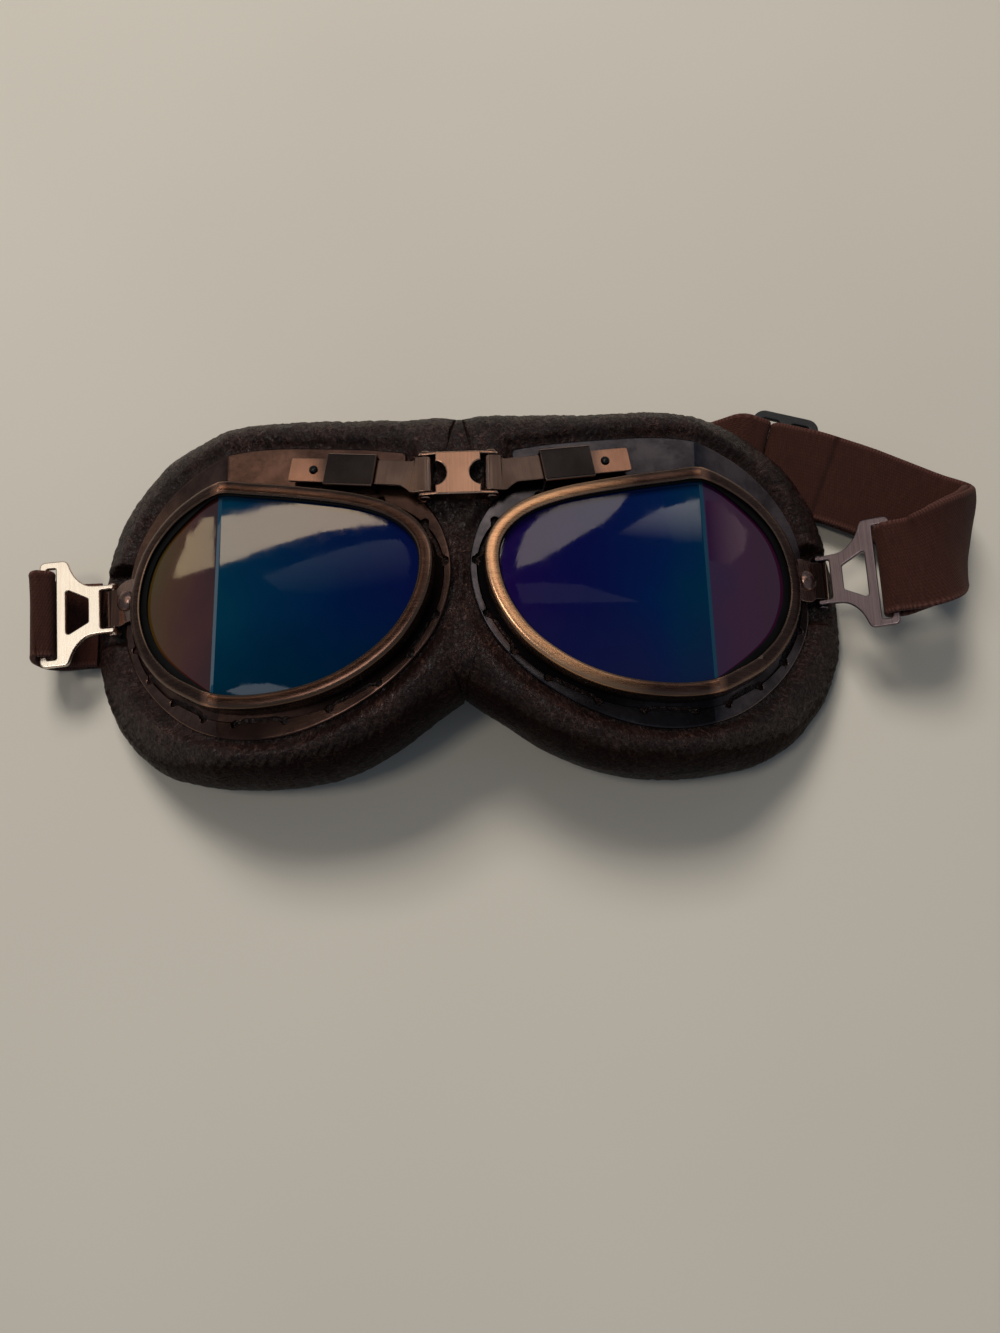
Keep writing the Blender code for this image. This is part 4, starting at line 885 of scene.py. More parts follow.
def lens_rim():
    zr, zf = rim_z, flange_z
    profile = [
        (0.0, lambda x: zf(x) - 1.05), (0.0, lambda x: zr(x) - 1.6), (-0.03, lambda x: zr(x) - 1.2), (-0.12, lambda x: zr(x) - 0.85),
        (-0.28, lambda x: zr(x) - 0.50), (-0.52, lambda x: zr(x) - 0.25), (-0.84, lambda x: zr(x) - 0.10), (-1.2, lambda x: zr(x) - 0.03),
        (-1.6, lambda x: zr(x) + 0.0), (-2.0, lambda x: zr(x) + 0.01), (-2.4, lambda x: zr(x) + 0.0), (-2.75, lambda x: zr(x) - 0.03),
        (-3.02, lambda x: zr(x) - 0.09), (-3.22, lambda x: zr(x) - 0.20), (-3.36, lambda x: zr(x) - 0.38), (-3.42, lambda x: zr(x) - 0.60),
        (-3.42, lambda x: zr(x) - 0.8), (-3.3, lambda x: zr(x) - 1.0), (-1.35, lambda x: zr(x) - 1.05), (-1.2, lambda x: zr(x) - 1.3),
        (-1.2, lambda x: zf(x) - 1.05),
    ]
    return ring(rim, rim_n, profile)


def gasket():
    z = rim_z

    def off(u, extra):
        return u - extra

    wide = 1.6 * smooth((rim[:, 0] - KINK_X) / 16.0)
    prof = [
        (-1.5, -1.2), (-1.5, -5.0), (-3.6, -5.0), (-3.6, -4.45), (-2.0, -4.45), (-2.0, -1.95),
        (-3.45, -1.95), (-3.62, -1.9), (-3.7, -1.72), (-3.62, -1.52), (-3.4, -1.42), (-2.4, -1.3),
    ]
    shape = Mesh()
    n, m = len(rim), len(prof)
    verts = np.zeros((n, m, 3))
    for k, (u, h) in enumerate(prof):
        extra = wide if -3.8 < u < -3.3 and h > -2.5 else 0.0 * wide
        p = rim + rim_n * (u - extra)[:, None]
        verts[:, k, :2] = p
        verts[:, k, 2] = z(p[:, 0]) + h
    faces = [[i * m + k, ((i + 1) % n) * m + k, ((i + 1) % n) * m + (k + 1) % m, i * m + (k + 1) % m] for i in range(n) for k in range(m)]
    return shape.add(verts.reshape(-1, 3), faces)


def lens():
    """One sheet folded into a front and a side panel, with a flat bend between them and rounded edges."""
    edge = rim + rim_n * -2.4
    a, b = KINK_X - 0.5, KINK_X + 0.4
    fold = [(np.array(((x, -60.0), (x, 60.0))), False) for x in (a, b)]
    insets = [(edge - rim_n * o, True) for o in (0.05, 0.15, 0.3)]
    za, zb = float(rim_z(a)), float(rim_z(b))

    def level(v):
        x = v[:, 0]
        t = np.clip((x - a) / (b - a), 0.0, 1.0)
        return np.where(x < a, rim_z(x), np.where(x > b, rim_z(x), za + (zb - za) * t)) - 2.3

    def top(v):
        return level(v) - round_off(distance(v, edge), 0.3)

    def bottom(v):
        return level(v) - LENS_T

    return sheet(edge, [], fold + insets, top, bottom)


# ---- leather -----------------------------------------------------------------------------------
def fbm(p, octaves=4, rough=0.55):
    total, amp = 0.0, 1.0
    q = Vector(p)
    for _ in range(octaves):
        total += amp * noise.noise(q)
        q = q * 2.03 + Vector((3.1, 1.7, 4.3))
        amp *= rough
    return total


roll_closed = np.vstack([roll, roll[::-1] * (-1.0, 1.0)])
flange_fine = resample(np.vstack([flange, flange[:1]]), 300, False)[:-1]


def under(x, y):
    dip = smooth((x - 89.5) / 3.0) * smooth((12.0 - np.abs(y - 8.5)) / 3.0)
    z = flange_z(np.sqrt(x * x + 16.0) - 1.0) - 1.35
    return z * (1.0 - dip) + np.minimum(z, 8.4) * dip, dip


def leather_top(xy, d_out, d_fl):
    """Height of the upper side of the roll."""
    x, y = xy[:, 0], xy[:, 1]
    zf, dip = under(x, y)
    ridge = np.exp(-((x / 5.0) ** 2))
    zf = zf - 0.95 * ridge
    rise = (1.9 - 0.8 * ridge) * smooth(d_fl / 4.2) * (1.0 - dip)
    zc = zf + rise
    zb = pad_z(x, y)
    band = d_out + np.maximum(d_fl, 0.0)
    r = np.clip(band * 0.82, 5.0, 10.5)
    e = (1.0 - (1.0 - np.clip(d_out / r, 0, 1)) ** 2.15) ** (1 / 2.15)
    zm = zb + 0.46 * (zc - zb)
    return zm + (zc - zm) * e


def leather_bottom(xy, d_out):
    x, y = xy[:, 0], xy[:, 1]
    zb = pad_z(x, y)
    zf, dip = under(x, y)
    zm = zb + 0.46 * (zf - zb)
    e = (1.0 - (1.0 - np.clip(d_out / 3.6, 0, 1)) ** 2.1) ** (1 / 2.1)
    return zm + (zb - zm) * e


def half_leather(sign):
    """One half of the leather: stations go once round the eye, rows run from its rear over the roll to the rim."""
    wall_all = resample(rim + rim_n * -3.2, 1600, True)
    start = int(np.argmin(np.hypot(wall_all[:, 0] - 12.0, wall_all[:, 1] - 100.0) + 100.0 * (wall_all[:, 1] < 0)))
    top_i = min((i for i in range(len(wall_all)) if wall_all[i, 1] > 5), key=lambda i: abs(wall_all[i, 0] - 12.0))
    low_i = min((i for i in range(len(wall_all)) if wall_all[i, 1] < 5), key=lambda i: abs(wall_all[i, 0] - 12.0))
    w = np.roll(wall_all, -top_i, 0)
    cut = (low_i - top_i) % len(wall_all)
    if w[cut // 2, 0] < 30:  # it runs by the nose first: turn it round
        w = np.roll(wall_all[::-1], -((len(wall_all) - 1 - top_i)), 0)
        cut = (len(wall_all) - 1 - low_i - (len(wall_all) - 1 - top_i)) % len(wall_all)
    outer_w, nose_w = w[: cut + 1], np.vstack([w[cut:], w[:1]])
    k_top = int(np.argmin(np.abs(roll[: len(roll) // 2, 0] - 12.0)))
    k_low = len(roll) // 2 + int(np.argmin(np.abs(roll[len(roll) // 2:, 0] - 12.0)))
    outer_q = roll[k_top: k_low + 1]
    n1, n2 = 560, 150
    wall = resample(outer_w, n1, False)
    edge = resample(outer_q, n1, False)
    # round the nose: along the notch, up the middle line and back along the brow
    qa, qb, qc = roll[k_low:], np.array([[0.0, y] for y in np.linspace(roll[-1, 1], roll[0, 1], 120)]), roll[: k_top + 1]
    na, nb, nc = 26, n2 - 26 - 20, 20
    chain = np.vstack([resample(qa, na + 1, False)[1:], resample(qb, nb + 1, False)[1:], resample(qc, nc + 1, False)[1:-1]])
    share = np.concatenate([np.linspace(0, 0.30, na + 1)[1:], np.linspace(0.30, 0.80, nb + 1)[1:], np.linspace(0.80, 1.0, nc + 1)[1:-1]])
    nw = resample(nose_w, 800, False)
    nose_pts = np.stack([np.interp(share, np.linspace(0, 1, 800), nw[:, k]) for k in (0, 1)], 1)
    P, Q = np.vstack([wall, nose_pts]), np.vstack([edge, chain])
    mid_line = np.zeros(len(P), bool)
    mid_line[n1 + na - 1: n1 + na + nb] = True
    n = len(P)
    across = np.linalg.norm(Q - P, axis=1)
    D = (Q - P) / across[:, None]
    JT, JB, JW = 44, 18, 5

    def samples(count, reach, lead):
        """Distances from the outer edge for each station."""
        out = np.zeros((n, count))
        for i in range(n):
            full = across[i] - 0.4
            if mid_line[i]:
                out[i] = np.linspace(0, full, count)
            else:
                r = min(reach, full * 0.6)
                a = r * (1 - np.cos(np.linspace(0, math.pi / 2, lead)))
                out[i] = np.concatenate([a, np.linspace(r, full, count - lead + 1)[1:]])
        return out

    dt, db = samples(JT, 10.0, 20), samples(JB, 4.5, 9)

    def field(dist):
        xy = Q[:, None, :] - D[:, None, :] * dist[:, :, None]
        flat = xy.reshape(-1, 2)
        out = distance(flat, roll_closed)
        fl = distance(flat, flange_fine)
        fl = np.where(inside_many(flat, flange_fine), -fl, fl)
        return flat, out, fl

    flat, d_out, d_fl = field(dt)
    top = np.column_stack([flat, leather_top(flat, d_out, d_fl)]).reshape(n, JT, 3)
    d_fl_t, d_out_t = d_fl.reshape(n, JT), d_out.reshape(n, JT)
    flat, d_out, _ = field(db)
    bottom = np.column_stack([flat, leather_bottom(flat, d_out)]).reshape(n, JB, 3)
    # inner wall from the rear lip up to the rim
    t_end, b_end = top[:, -1], bottom[:, -1]
    inner = []
    for k in range(1, JW + 1):
        s = k / (JW + 1)
        p = b_end * (1 - s) + t_end * s
        p[:, :2] = P
        inner.append(p)
    inner = np.stack(inner, 1)
    grid = np.concatenate([bottom[:, ::-1], top, inner[:, ::-1]], 1)  # from the rear lip out, round the edge, in over the top, down the wall
    m = grid.shape[1]
    # Displace: lumps, folds that cross the roll, and the crinkles of the surface
    s = np.concatenate([[0], np.cumsum(np.linalg.norm(np.diff(0.35 * P + 0.65 * Q, axis=0), axis=1))])
    nrm = grid_normals(grid)
    jt0 = JB
    show = np.zeros((n, m))
    show[:, jt0: jt0 + JT] = smooth((d_fl_t - 0.3) / 2.0)
    side = smooth((np.arange(JB) - JB * 0.45) / (JB * 0.55))
    show[:, :JB] = side[None, :]
    show[mid_line, :JB] = 0.0
    disp = np.zeros((n, m))
    seam = smooth(np.abs(grid[..., 0]) / 6.0)
    for i in range(n):
        for j in range(m):
            if show[i, j] < 0.01:
                continue
            x, y, z = grid[i, j]
            sx = sign * x
            lump = fbm((sx / 17.0, y / 17.0, 2.0 + z / 22.0), 2)
            v = (across[i] - (dt[i, j - jt0] if jt0 <= j < jt0 + JT else 0.0))
            fold = fbm((s[i] / 2.3 + sign * 31.0, v / 7.5, 5.0), 3, 0.6)
            fold = 1.0 - 2.2 * abs(fold)
            part = 0.35 + 0.65 * max(0.0, min(1.0, 0.5 + 1.2 * noise.noise(Vector((sx / 24.0, y / 24.0, 9.0)))))
            crease = fbm((sx / 2.1, y / 2.1, z / 2.1), 3, 0.6)
            disp[i, j] = show[i, j] * (0.55 * lump + (0.19 * fold * part) * seam[i, j] + 0.13 * crease)
    grid = grid + nrm * disp[..., None]
    grid[mid_line, JB - 1, 0] = 0.0
    grid[mid_line, JB, 0] = 0.0
    nrm = grid_normals(grid)
    nrm[mid_line, JB - 1, 0] = 0.0
    nrm[mid_line, JB, 0] = 0.0
    nrm /= np.linalg.norm(nrm, axis=2)[..., None]
    faces = []
    for i in range(n):
        i2 = (i + 1) % n
        for j in range(m):
            j2 = (j + 1) % m
            if j == JB - 1 and mid_line[i] and mid_line[i2]:
                continue
            faces.append([i * m + j, i2 * m + j, i2 * m + j2, i * m + j2])
    rows = np.cumsum(np.concatenate([np.zeros((n, 1)), np.linalg.norm(np.diff(grid, axis=1), axis=2)], 1), axis=1)
    run = np.stack([np.repeat((s + (sign > 0) * 400.0)[:, None], m, 1), rows, np.zeros((n, m))], 2)
    return grid.reshape(-1, 3), np.array(faces), nrm.reshape(-1, 3), run.reshape(-1, 3)


def grid_normals(grid):
    du = np.roll(grid, -1, 0) - np.roll(grid, 1, 0)
    dv = np.roll(grid, -1, 1) - np.roll(grid, 1, 1)
    nn = np.cross(du, dv)
    nn /= np.linalg.norm(nn, axis=2)[..., None] + 1e-9
    centre = grid.mean(axis=1, keepdims=True)
    flip = np.sign(((grid - centre) * nn).sum(2).mean())
    return nn * (flip if flip else 1.0)


def split_piece(name, verts, faces, normals, run, pick, left, mat):
    f = faces[pick]
    used = np.unique(f)
    back = np.full(len(verts), -1)
    back[used] = np.arange(len(used))
    shape = Mesh()
    v = verts[used]
    rest = v * ((-1.0, 1.0, 1.0) if left else (1.0, 1.0, 1.0))
    shape.add(v, back[f].tolist(), rest)
    obj = make(name, shape, mat, left, None, False, normals[used])
    layer = obj.data.attributes.new("run", "FLOAT_VECTOR", "POINT")
    layer.data.foreach_set("vector", run[used].astype(np.float32).ravel())
    return obj


def leather():
    for side, sign in (("left", -1.0), ("right", 1.0)):
        verts, faces, normals, run = half_leather(sign)
        # the winding follows the outward normals
        a, b, c = verts[faces[:, 0]], verts[faces[:, 1]], verts[faces[:, 2]]
        agree = (np.cross(b - a, c - a) * normals[faces[:, 0]]).sum(1)
        if np.median(agree) < 0:
            faces = faces[:, ::-1]
        x = verts[faces][:, :, 0].mean(1)
        left = side == "left"
        eye = split_piece(side + "_leather_roll", verts, faces, normals, run, x >= 12.0, left, LEATHER)
        nose = split_piece(side + "_leather_nose", verts, faces, normals, run, x < 12.0, left, LEATHER)
        s = -1.0 if left else 1.0

        def at(px):
            return tuple((np.array((s * px, 25.0, 25.0)) - ORIGIN) * 0.001)

        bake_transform(eye)
        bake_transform(nose)
        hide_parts(side + "_pad_leather", side + "_pad_foam")
        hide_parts("nose_pad")


# ---- bridge and arms ---------------------------------------------------------------------------
def bridge():
    w, h, r, cx = 5.5, 5.6, 3.2, 6.0
    edge = [(w, -h), (cx + 0.0, -h + 0.0)][:1]
    edge += [(cx + r * math.cos(a), r * math.sin(a)) for a in np.radians(np.linspace(262.0, 98.0, 25))]
    edge += [(w, h), (-w, h)]
    edge += [(-cx + r * math.cos(a), r * math.sin(a)) for a in np.radians(np.linspace(82.0, -82.0, 25))]
    edge += [(-w, -h)]
    loop = dense(np.array(edge), 0.5)
    shape = rounded_plate([loop], lambda x, y, z: (x, HINGE_Y + y, HINGE_Z + 1.75 + z), 0.9, 0.28)
    for sign in (-1, 1):
        side = arc(HINGE_X, 0.0, 2.0, -90, 55, 24) + [(5.5, 2.1), (-5.5, 2.1)] + arc(-HINGE_X, 0.0, 2.0, 125, 270, 24)
        side = dense(np.array(side), 0.6)
        eyes = [np.array(arc(s * HINGE_X, 0.0, PIN_R + 0.25, 0, 345, 24)) for s in (-1, 1)]
        rounded_plate([side] + eyes, lambda x, z, y, q=sign: (x, HINGE_Y + q * 5.3 + y, HINGE_Z + z), 0.7, 0.2, 3, shape)
    return shape


ARM_E1 = unit((math.cos(ARM_PLAN), math.sin(ARM_PLAN), ARM_SLOPE))
ARM_E2 = np.array([-math.sin(ARM_PLAN), math.cos(ARM_PLAN), 0.0])
ARM_E3 = np.cross(ARM_E1, ARM_E2)
ARM_MID = 1.45
ARM_0 = np.array([HINGE_X, HINGE_Y, HINGE_Z]) + ARM_MID * np.array([ARM_E3[0], 0.0, ARM_E3[2]])


def arm_at(along, across=0.0, up=0.0):
    return ARM_0 + ARM_E1 * along + ARM_E2 * across + ARM_E3 * up


def arm():
    centres, widths, half = [], [], []
    for along in [35.6, 35.5, 35.3] + list(np.linspace(34.6, 6.6, 30)) + list(np.linspace(6.2, 2.4, 16)):
        c = arm_at(along)
        t = smooth((6.0 - along) / 3.4)
        c[1] = c[1] * (1 - t) + (HINGE_Y + 0.1 * (along - 2.6)) * t
        centres.append(c)
        widths.append(ARM_E2 * (1 - t) + np.array((0.0, 1.0, 0.0)) * t)
        f = min(1.0, max(0.0, (6.0 - along) / 2.9))
        half.append(ARM_W / 2 + (ARM_T_HEAD / 2 - ARM_W / 2) * (1.0 - math.sqrt(max(0.0, 1.0 - f * f))))
    half[0], half[1], half[2] = ARM_W / 2 - 0.42, ARM_W / 2 - 0.2, ARM_W / 2 - 0.05
    start = math.degrees(math.atan2(ARM_E3[2], ARM_E3[0]))
    for a in np.radians(np.linspace(start + 4.0, start + 252.0, 40)):
        centres.append((HINGE_X + ARM_MID * math.cos(a), HINGE_Y, HINGE_Z + ARM_MID * math.sin(a)))
        widths.append((0.0, 1.0, 0.0))
        half.append(ARM_T_HEAD / 2)
    return strip(centres, widths, half, ARM_T, 0.22)


def sleeve():
    """Folded guide: a bent cover over the arm with two feet, and a sheet under the arm."""
    w, h, foot, r = SLEEVE_W / 2, SLEEVE_W / 2 - 0.85, -9.0, 0.75
    outer = [(-w, foot), (-h, foot), (-h, -1.55), (h, -1.55), (h, foot), (w, foot)]
    outer += arc(w - r, 1.6 - r, r, 0, 90, 8) + arc(-w + r, 1.6 - r, r, 90, 180, 8)
    inner = rounded([(-h, -0.75), (h, -0.75), (h, 0.75), (-h, 0.75)], 0.25, 4)

    def place(y, z, x):
        p = arm_at(SLEEVE_0 + SLEEVE_L / 2 + x, y, max(z, -1.55))
        return (p[0], p[1], float(flange_z(p[0])) + 0.15) if z < -2.0 else tuple(p)

    return rounded_plate([np.array(outer), inner], place, SLEEVE_L, 0.22, 3)


# ---- temple bracket and clips --------------------------------------------------------------------
def bracket(cy, yaw):
    r = 1.5
    w = math.radians(yaw)
    centres, widths, half = [], [], []
    for k, x in enumerate(np.linspace(88.4, 93.4, 22)):
        bend = float(smooth((x - 90.4) / 2.4))
        z = float(flange_z(x)) + 0.95
        t = float(smooth((x - 92.0) / 2.0))
        z = z * (1 - t) + (CLIP_Z + r + 0.25) * t
        centres.append((x, RIVET[1] + (cy - RIVET[1]) * bend, z))
        widths.append((-math.sin(w) * bend, 1.0, 0.0))
        half.append(5.9 - 0.8 * float(smooth((x - 90.6) / 2.4)) - (0.5 if k == 0 else 0.12 if k == 1 else 0.0))
    for a in np.radians(np.linspace(86.0, -215.0, 44)):
        x, z = r * math.cos(a), r * math.sin(a)
        centres.append((CLIP_X + x * math.cos(w), cy + x * math.sin(w), CLIP_Z + z))
        widths.append((-math.sin(w), math.cos(w), 0.0))
        half.append(5.1)
    return strip(centres, widths, half, 0.85, 0.2)


def clip_frame(side):
    c, s = math.cos(math.radians(TILT[side])), math.sin(math.radians(TILT[side]))
    cw, sw = math.cos(math.radians(YAW[side])), math.sin(math.radians(YAW[side]))

    def place(x, y, z):
        h = c * x - s * (z + CLIP_LIFT)
        return (CLIP_X + cw * h - sw * y, CLIP_Y[side] + sw * h + cw * y, CLIP_Z + s * x + c * (z + CLIP_LIFT))

    return place


def clip(side):
    half = [
        (-0.6, 6.75), (2.0, 6.75), (4.6, 6.85), (6.6, 7.25), (8.3, 8.4), (9.4, 9.6), (10.2, 10.8), (10.9, 12.3), (11.3, 13.4), (11.7, 14.2),
        (12.2, 14.65), (12.9, 14.8), (17.6, 14.8), (18.4, 14.6), (18.9, 14.0), (19.1, 13.2),
    ]
    half = half[:1] + [tuple(p) for p in spline(half[1:12], False, 3)] + half[12:]
    inner = [(3.1, -5.5), (3.1, 5.5), (-0.6, 5.5)]
    loop = half + [(x, -y) for x, y in half[::-1]] + [(-0.6, -5.5)] + inner
    loop = rounded(loop, [0.6 if (abs(x + 0.6) < 0.01) else 0.7 if abs(x - 3.1) < 0.01 else 0.0 for x, y in loop], 5)
    loop = dense(loop, 0.9)
    window = rounded([(6.2, -3.3), (12.2, -6.6), (12.2, 6.6), (6.2, 3.3)], [0.7, 0.7, 0.7, 0.7], 6)
    slot = rounded([(14.7, -12.9), (17.3, -12.9), (17.3, 12.9), (14.7, 12.9)], 0.5, 5)
    place = clip_frame(side)
    shape = rounded_plate([loop, dense(window, 0.8), dense(slot, 0.9)], place, CLIP_T, 0.3, 4)
    for sign in (-1, 1):
        ear = arc(0.0, 0.0, 1.8, 165, 330, 22) + [(3.0, CLIP_LIFT + 0.45), (-0.5, CLIP_LIFT + 0.45)]
        ear = rounded(ear, [0.0] * 22 + [0.6, 0.6], 6)
        hole = np.array(arc(0.0, 0.0, 0.85, 0, 345, 24))
        rounded_plate(
            [dense(np.array(ear), 0.5), hole], lambda x, z, y, q=sign: place(x, q * 6.125 + y, z - CLIP_LIFT), 1.25, 0.22, 3, shape
        )
    return shape


# ---- strap -------------------------------------------------------------------------------------
SLIDER_C = (88.4, 46.2, 5.4)
FLAT = STRAP_T / 2
GLIDE_ALONG, GLIDE_LONG = np.array((0.935, -0.355, 0.0)), unit((0.275, 0.945, 0.16))
RUN = [
    (-100.6, 6.4), (-85.0, 7.0), (-60.0, 11.0), (-36.0, 17.0), (-12.0, 24.0), (12.0, 31.6), (36.0, 40.0),
    (52.0, 45.0), (66.0, 48.2), (80.0, 50.0),
]
LOOP = [
    (103.6, 41.2, 5.8, 0.29, 0.95, 0.15), (109.2, 38.6, 6.2, 0.35, 0.92, 0.15), (115.9, 35.4, 6.3, 0.35, 0.92, 0.15),
    (122.8, 31.9, 6.5, 0.31, 0.94, 0.15), (129.2, 28.6, 7.0, 0.25, 0.96, 0.15), (133.8, 25.9, 8.9, 0.22, 0.97, 0.14),
    (135.8, 23.2, 12.2, 0.21, 0.97, 0.14), (134.9, 20.6, 16.6, 0.21, 0.97, 0.14), (131.2, 17.2, 21.2, 0.17, 0.97, 0.14),
    (126.0, 13.7, 24.6, 0.10, 0.99, 0.11), (121.2, 11.2, 25.9, 0.06, 0.99, 0.08), (116.9, 9.9, 25.3, 0.02, 0.99, 0.04),
]


def glide(x, y, z):
    b = GLIDE_LONG
    a = unit(GLIDE_ALONG - b * np.dot(GLIDE_ALONG, b))
    return tuple(np.array(SLIDER_C) + a * x + b * y + np.cross(a, b) * z)


def band(path, widths, half, start=0.0, seam=(), soft=()):
    """Woven strap with bound edges. The layout vector holds the run along, the place across and the bound edge."""
    c = np.array(path, float)
    w = np.array(widths, float)
    tan = np.gradient(c, axis=0)
    s = start + np.concatenate([[0], np.cumsum(np.linalg.norm(np.diff(c, axis=0), axis=1))])
    cross = []
    for v in np.concatenate([[-1.0, -0.985], np.linspace(-0.95, 0.95, 24), [0.985, 1.0]]):
        edge = smooth((abs(v) * half - (half - 1.5)) / 0.4)
        h = STRAP_T / 2 * (1.0 - 0.10 * (1 - edge)) * (1.0 if abs(v) < 0.97 else 0.72 if abs(v) < 0.99 else 0.30)
        cross.append((v * half, h, edge))
    sec = [(v, h, e) for v, h, e in cross] + [(v, -h, e) for v, h, e in cross[::-1]]
    sections, attr = [], []
    for i in range(len(c)):
        d = unit(tan[i])
        side = unit(w[i] - d * np.dot(w[i], d))
        up = np.cross(d, side)
        dip = 0.0
        for at in seam:
            dip += 0.34 * math.exp(-(((s[i] - at) / 0.55) ** 2))
        wav = 0.05 * noise.noise(Vector((s[i] / 5.0, 0.3, 1.7)))
        pull = np.zeros((len(sec), 3))
        for at, reach, upper, lower in soft:
            near = math.exp(-(((s[i] - at) / reach) ** 2))
            wide = math.exp(-(((s[i] - at) / (reach * 1.8)) ** 2))
            for k, (v, _, _) in enumerate(sec):
                pull[k, 0] -= near * upper * (v / half) ** 4 if v > 0 else wide * lower * (abs(v) / half) ** 3
                pull[k, 1] += 0.0 if v > 0 else wide * 1.3 * (abs(v) / half) ** 3
        sections.append(
            [c[i] + side * v + up * (h - math.copysign(dip if e < 0.5 else 0.0, h) + wav) + pull[k] for k, (v, h, e) in enumerate(sec)]
        )
        stitch = max([math.exp(-(((s[i] - at) / 0.5) ** 2)) for at in seam] + [0.0])
        attr += [(s[i], v, e if stitch < 0.2 else -stitch) for v, h, e in sec]
    return np.array(sections), np.array(attr)


def strap_piece(name, path, widths, half, start=0.0, seam=(), left=False, ends=True, soft=()):
    sections, attr = band(path, widths, half, start, seam, soft)
    shape = tube(sections, attr, ends)
    return make(name, shape, ELASTIC, left, 40.0, True)


def run_line(x0, x1, n):
    line = spline(RUN, False, 24)
    x = np.linspace(x0, x1, n)
    pts = np.column_stack([x, np.interp(x, line[:, 0], line[:, 1]), np.full(n, FLAT)])
    t = np.gradient(pts, axis=0)
    return pts, np.column_stack([-t[:, 1], t[:, 0], np.zeros(n)])


def left_loop_path():
    place = clip_frame("left")
    pts = [(101.0, 6.4, FLAT), (107.0, 6.3, FLAT), (112.0, 5.9, FLAT + 0.2), (115.4, 5.6, 2.6), (116.9, 5.3, 6.0)]
    pts += [(117.3, 5.3, 10.4), (116.5, 5.4, 14.0)]
    for q in ((19.6, 2.5), (17.8, 2.0), (16.35, 1.2), (15.95, 0.0), (16.35, -1.2), (17.6, -2.4)):
        pts.append(place(q[0], 0.0, q[1]))
    pts += [(114.0, 6.0, 8.2), (112.0, 6.1, 4.6), (108.5, 6.3, 2.9), (103.0, 6.4, 2.65)]
    line = spline(pts, False, 12)
    skew = math.sin(math.radians(YAW["left"]))
    widths = np.column_stack([-skew * smooth((line[:, 0] - 101.0) / 8.0), np.ones(len(line)), np.zeros(len(line))])
    line[:, 2] = np.maximum(line[:, 2], FLAT + 0.02)
    return line, widths


def right_loop_path():
    outer = np.array(LOOP)
    tan = np.gradient(outer[:, :3], axis=0)
    inner = []
    for p, t in zip(outer, tan):
        n = unit(np.cross(p[3:], t))
        n = n if np.dot(n, (120.0, 22.0, 15.0) - p[:3]) > 0 else -n
        inner.append(list(p[:3] + n * (STRAP_T + 0.45)) + list(p[3:]))
    place = clip_frame("right")
    turn = [
        list(place(x, y, z)) + [0.0, 1.0, 0.0]
        for x, y, z in (
            (19.6, 0.4, 2.15), (17.9, 0.3, 2.1), (16.4, 0.2, 1.3), (15.95, 0.1, 0.0), (16.4, 0.1, -1.3), (17.9, 0.2, -2.15),
            (20.8, 0.4, -2.5),
        )
    ]
    begin = [list(glide(x, 0.0, z)) + list(GLIDE_LONG) for x, z in ((-0.8, -2.1), (4.0, -2.1), (8.6, -2.1), (11.4, -2.0))]
    end = [
        list(glide(x, 0.0, z)) + list(GLIDE_LONG)
        for x, z in ((9.6, 2.2), (4.4, 2.1), (0.4, 2.2), (-2.2, 1.85), (-3.25, 0.4), (-3.2, -0.9))
    ]
    path = spline(np.vstack([begin, outer, turn, inner[-2:0:-1], end]), False, 12)
    return path[:, :3], path[:, 3:]


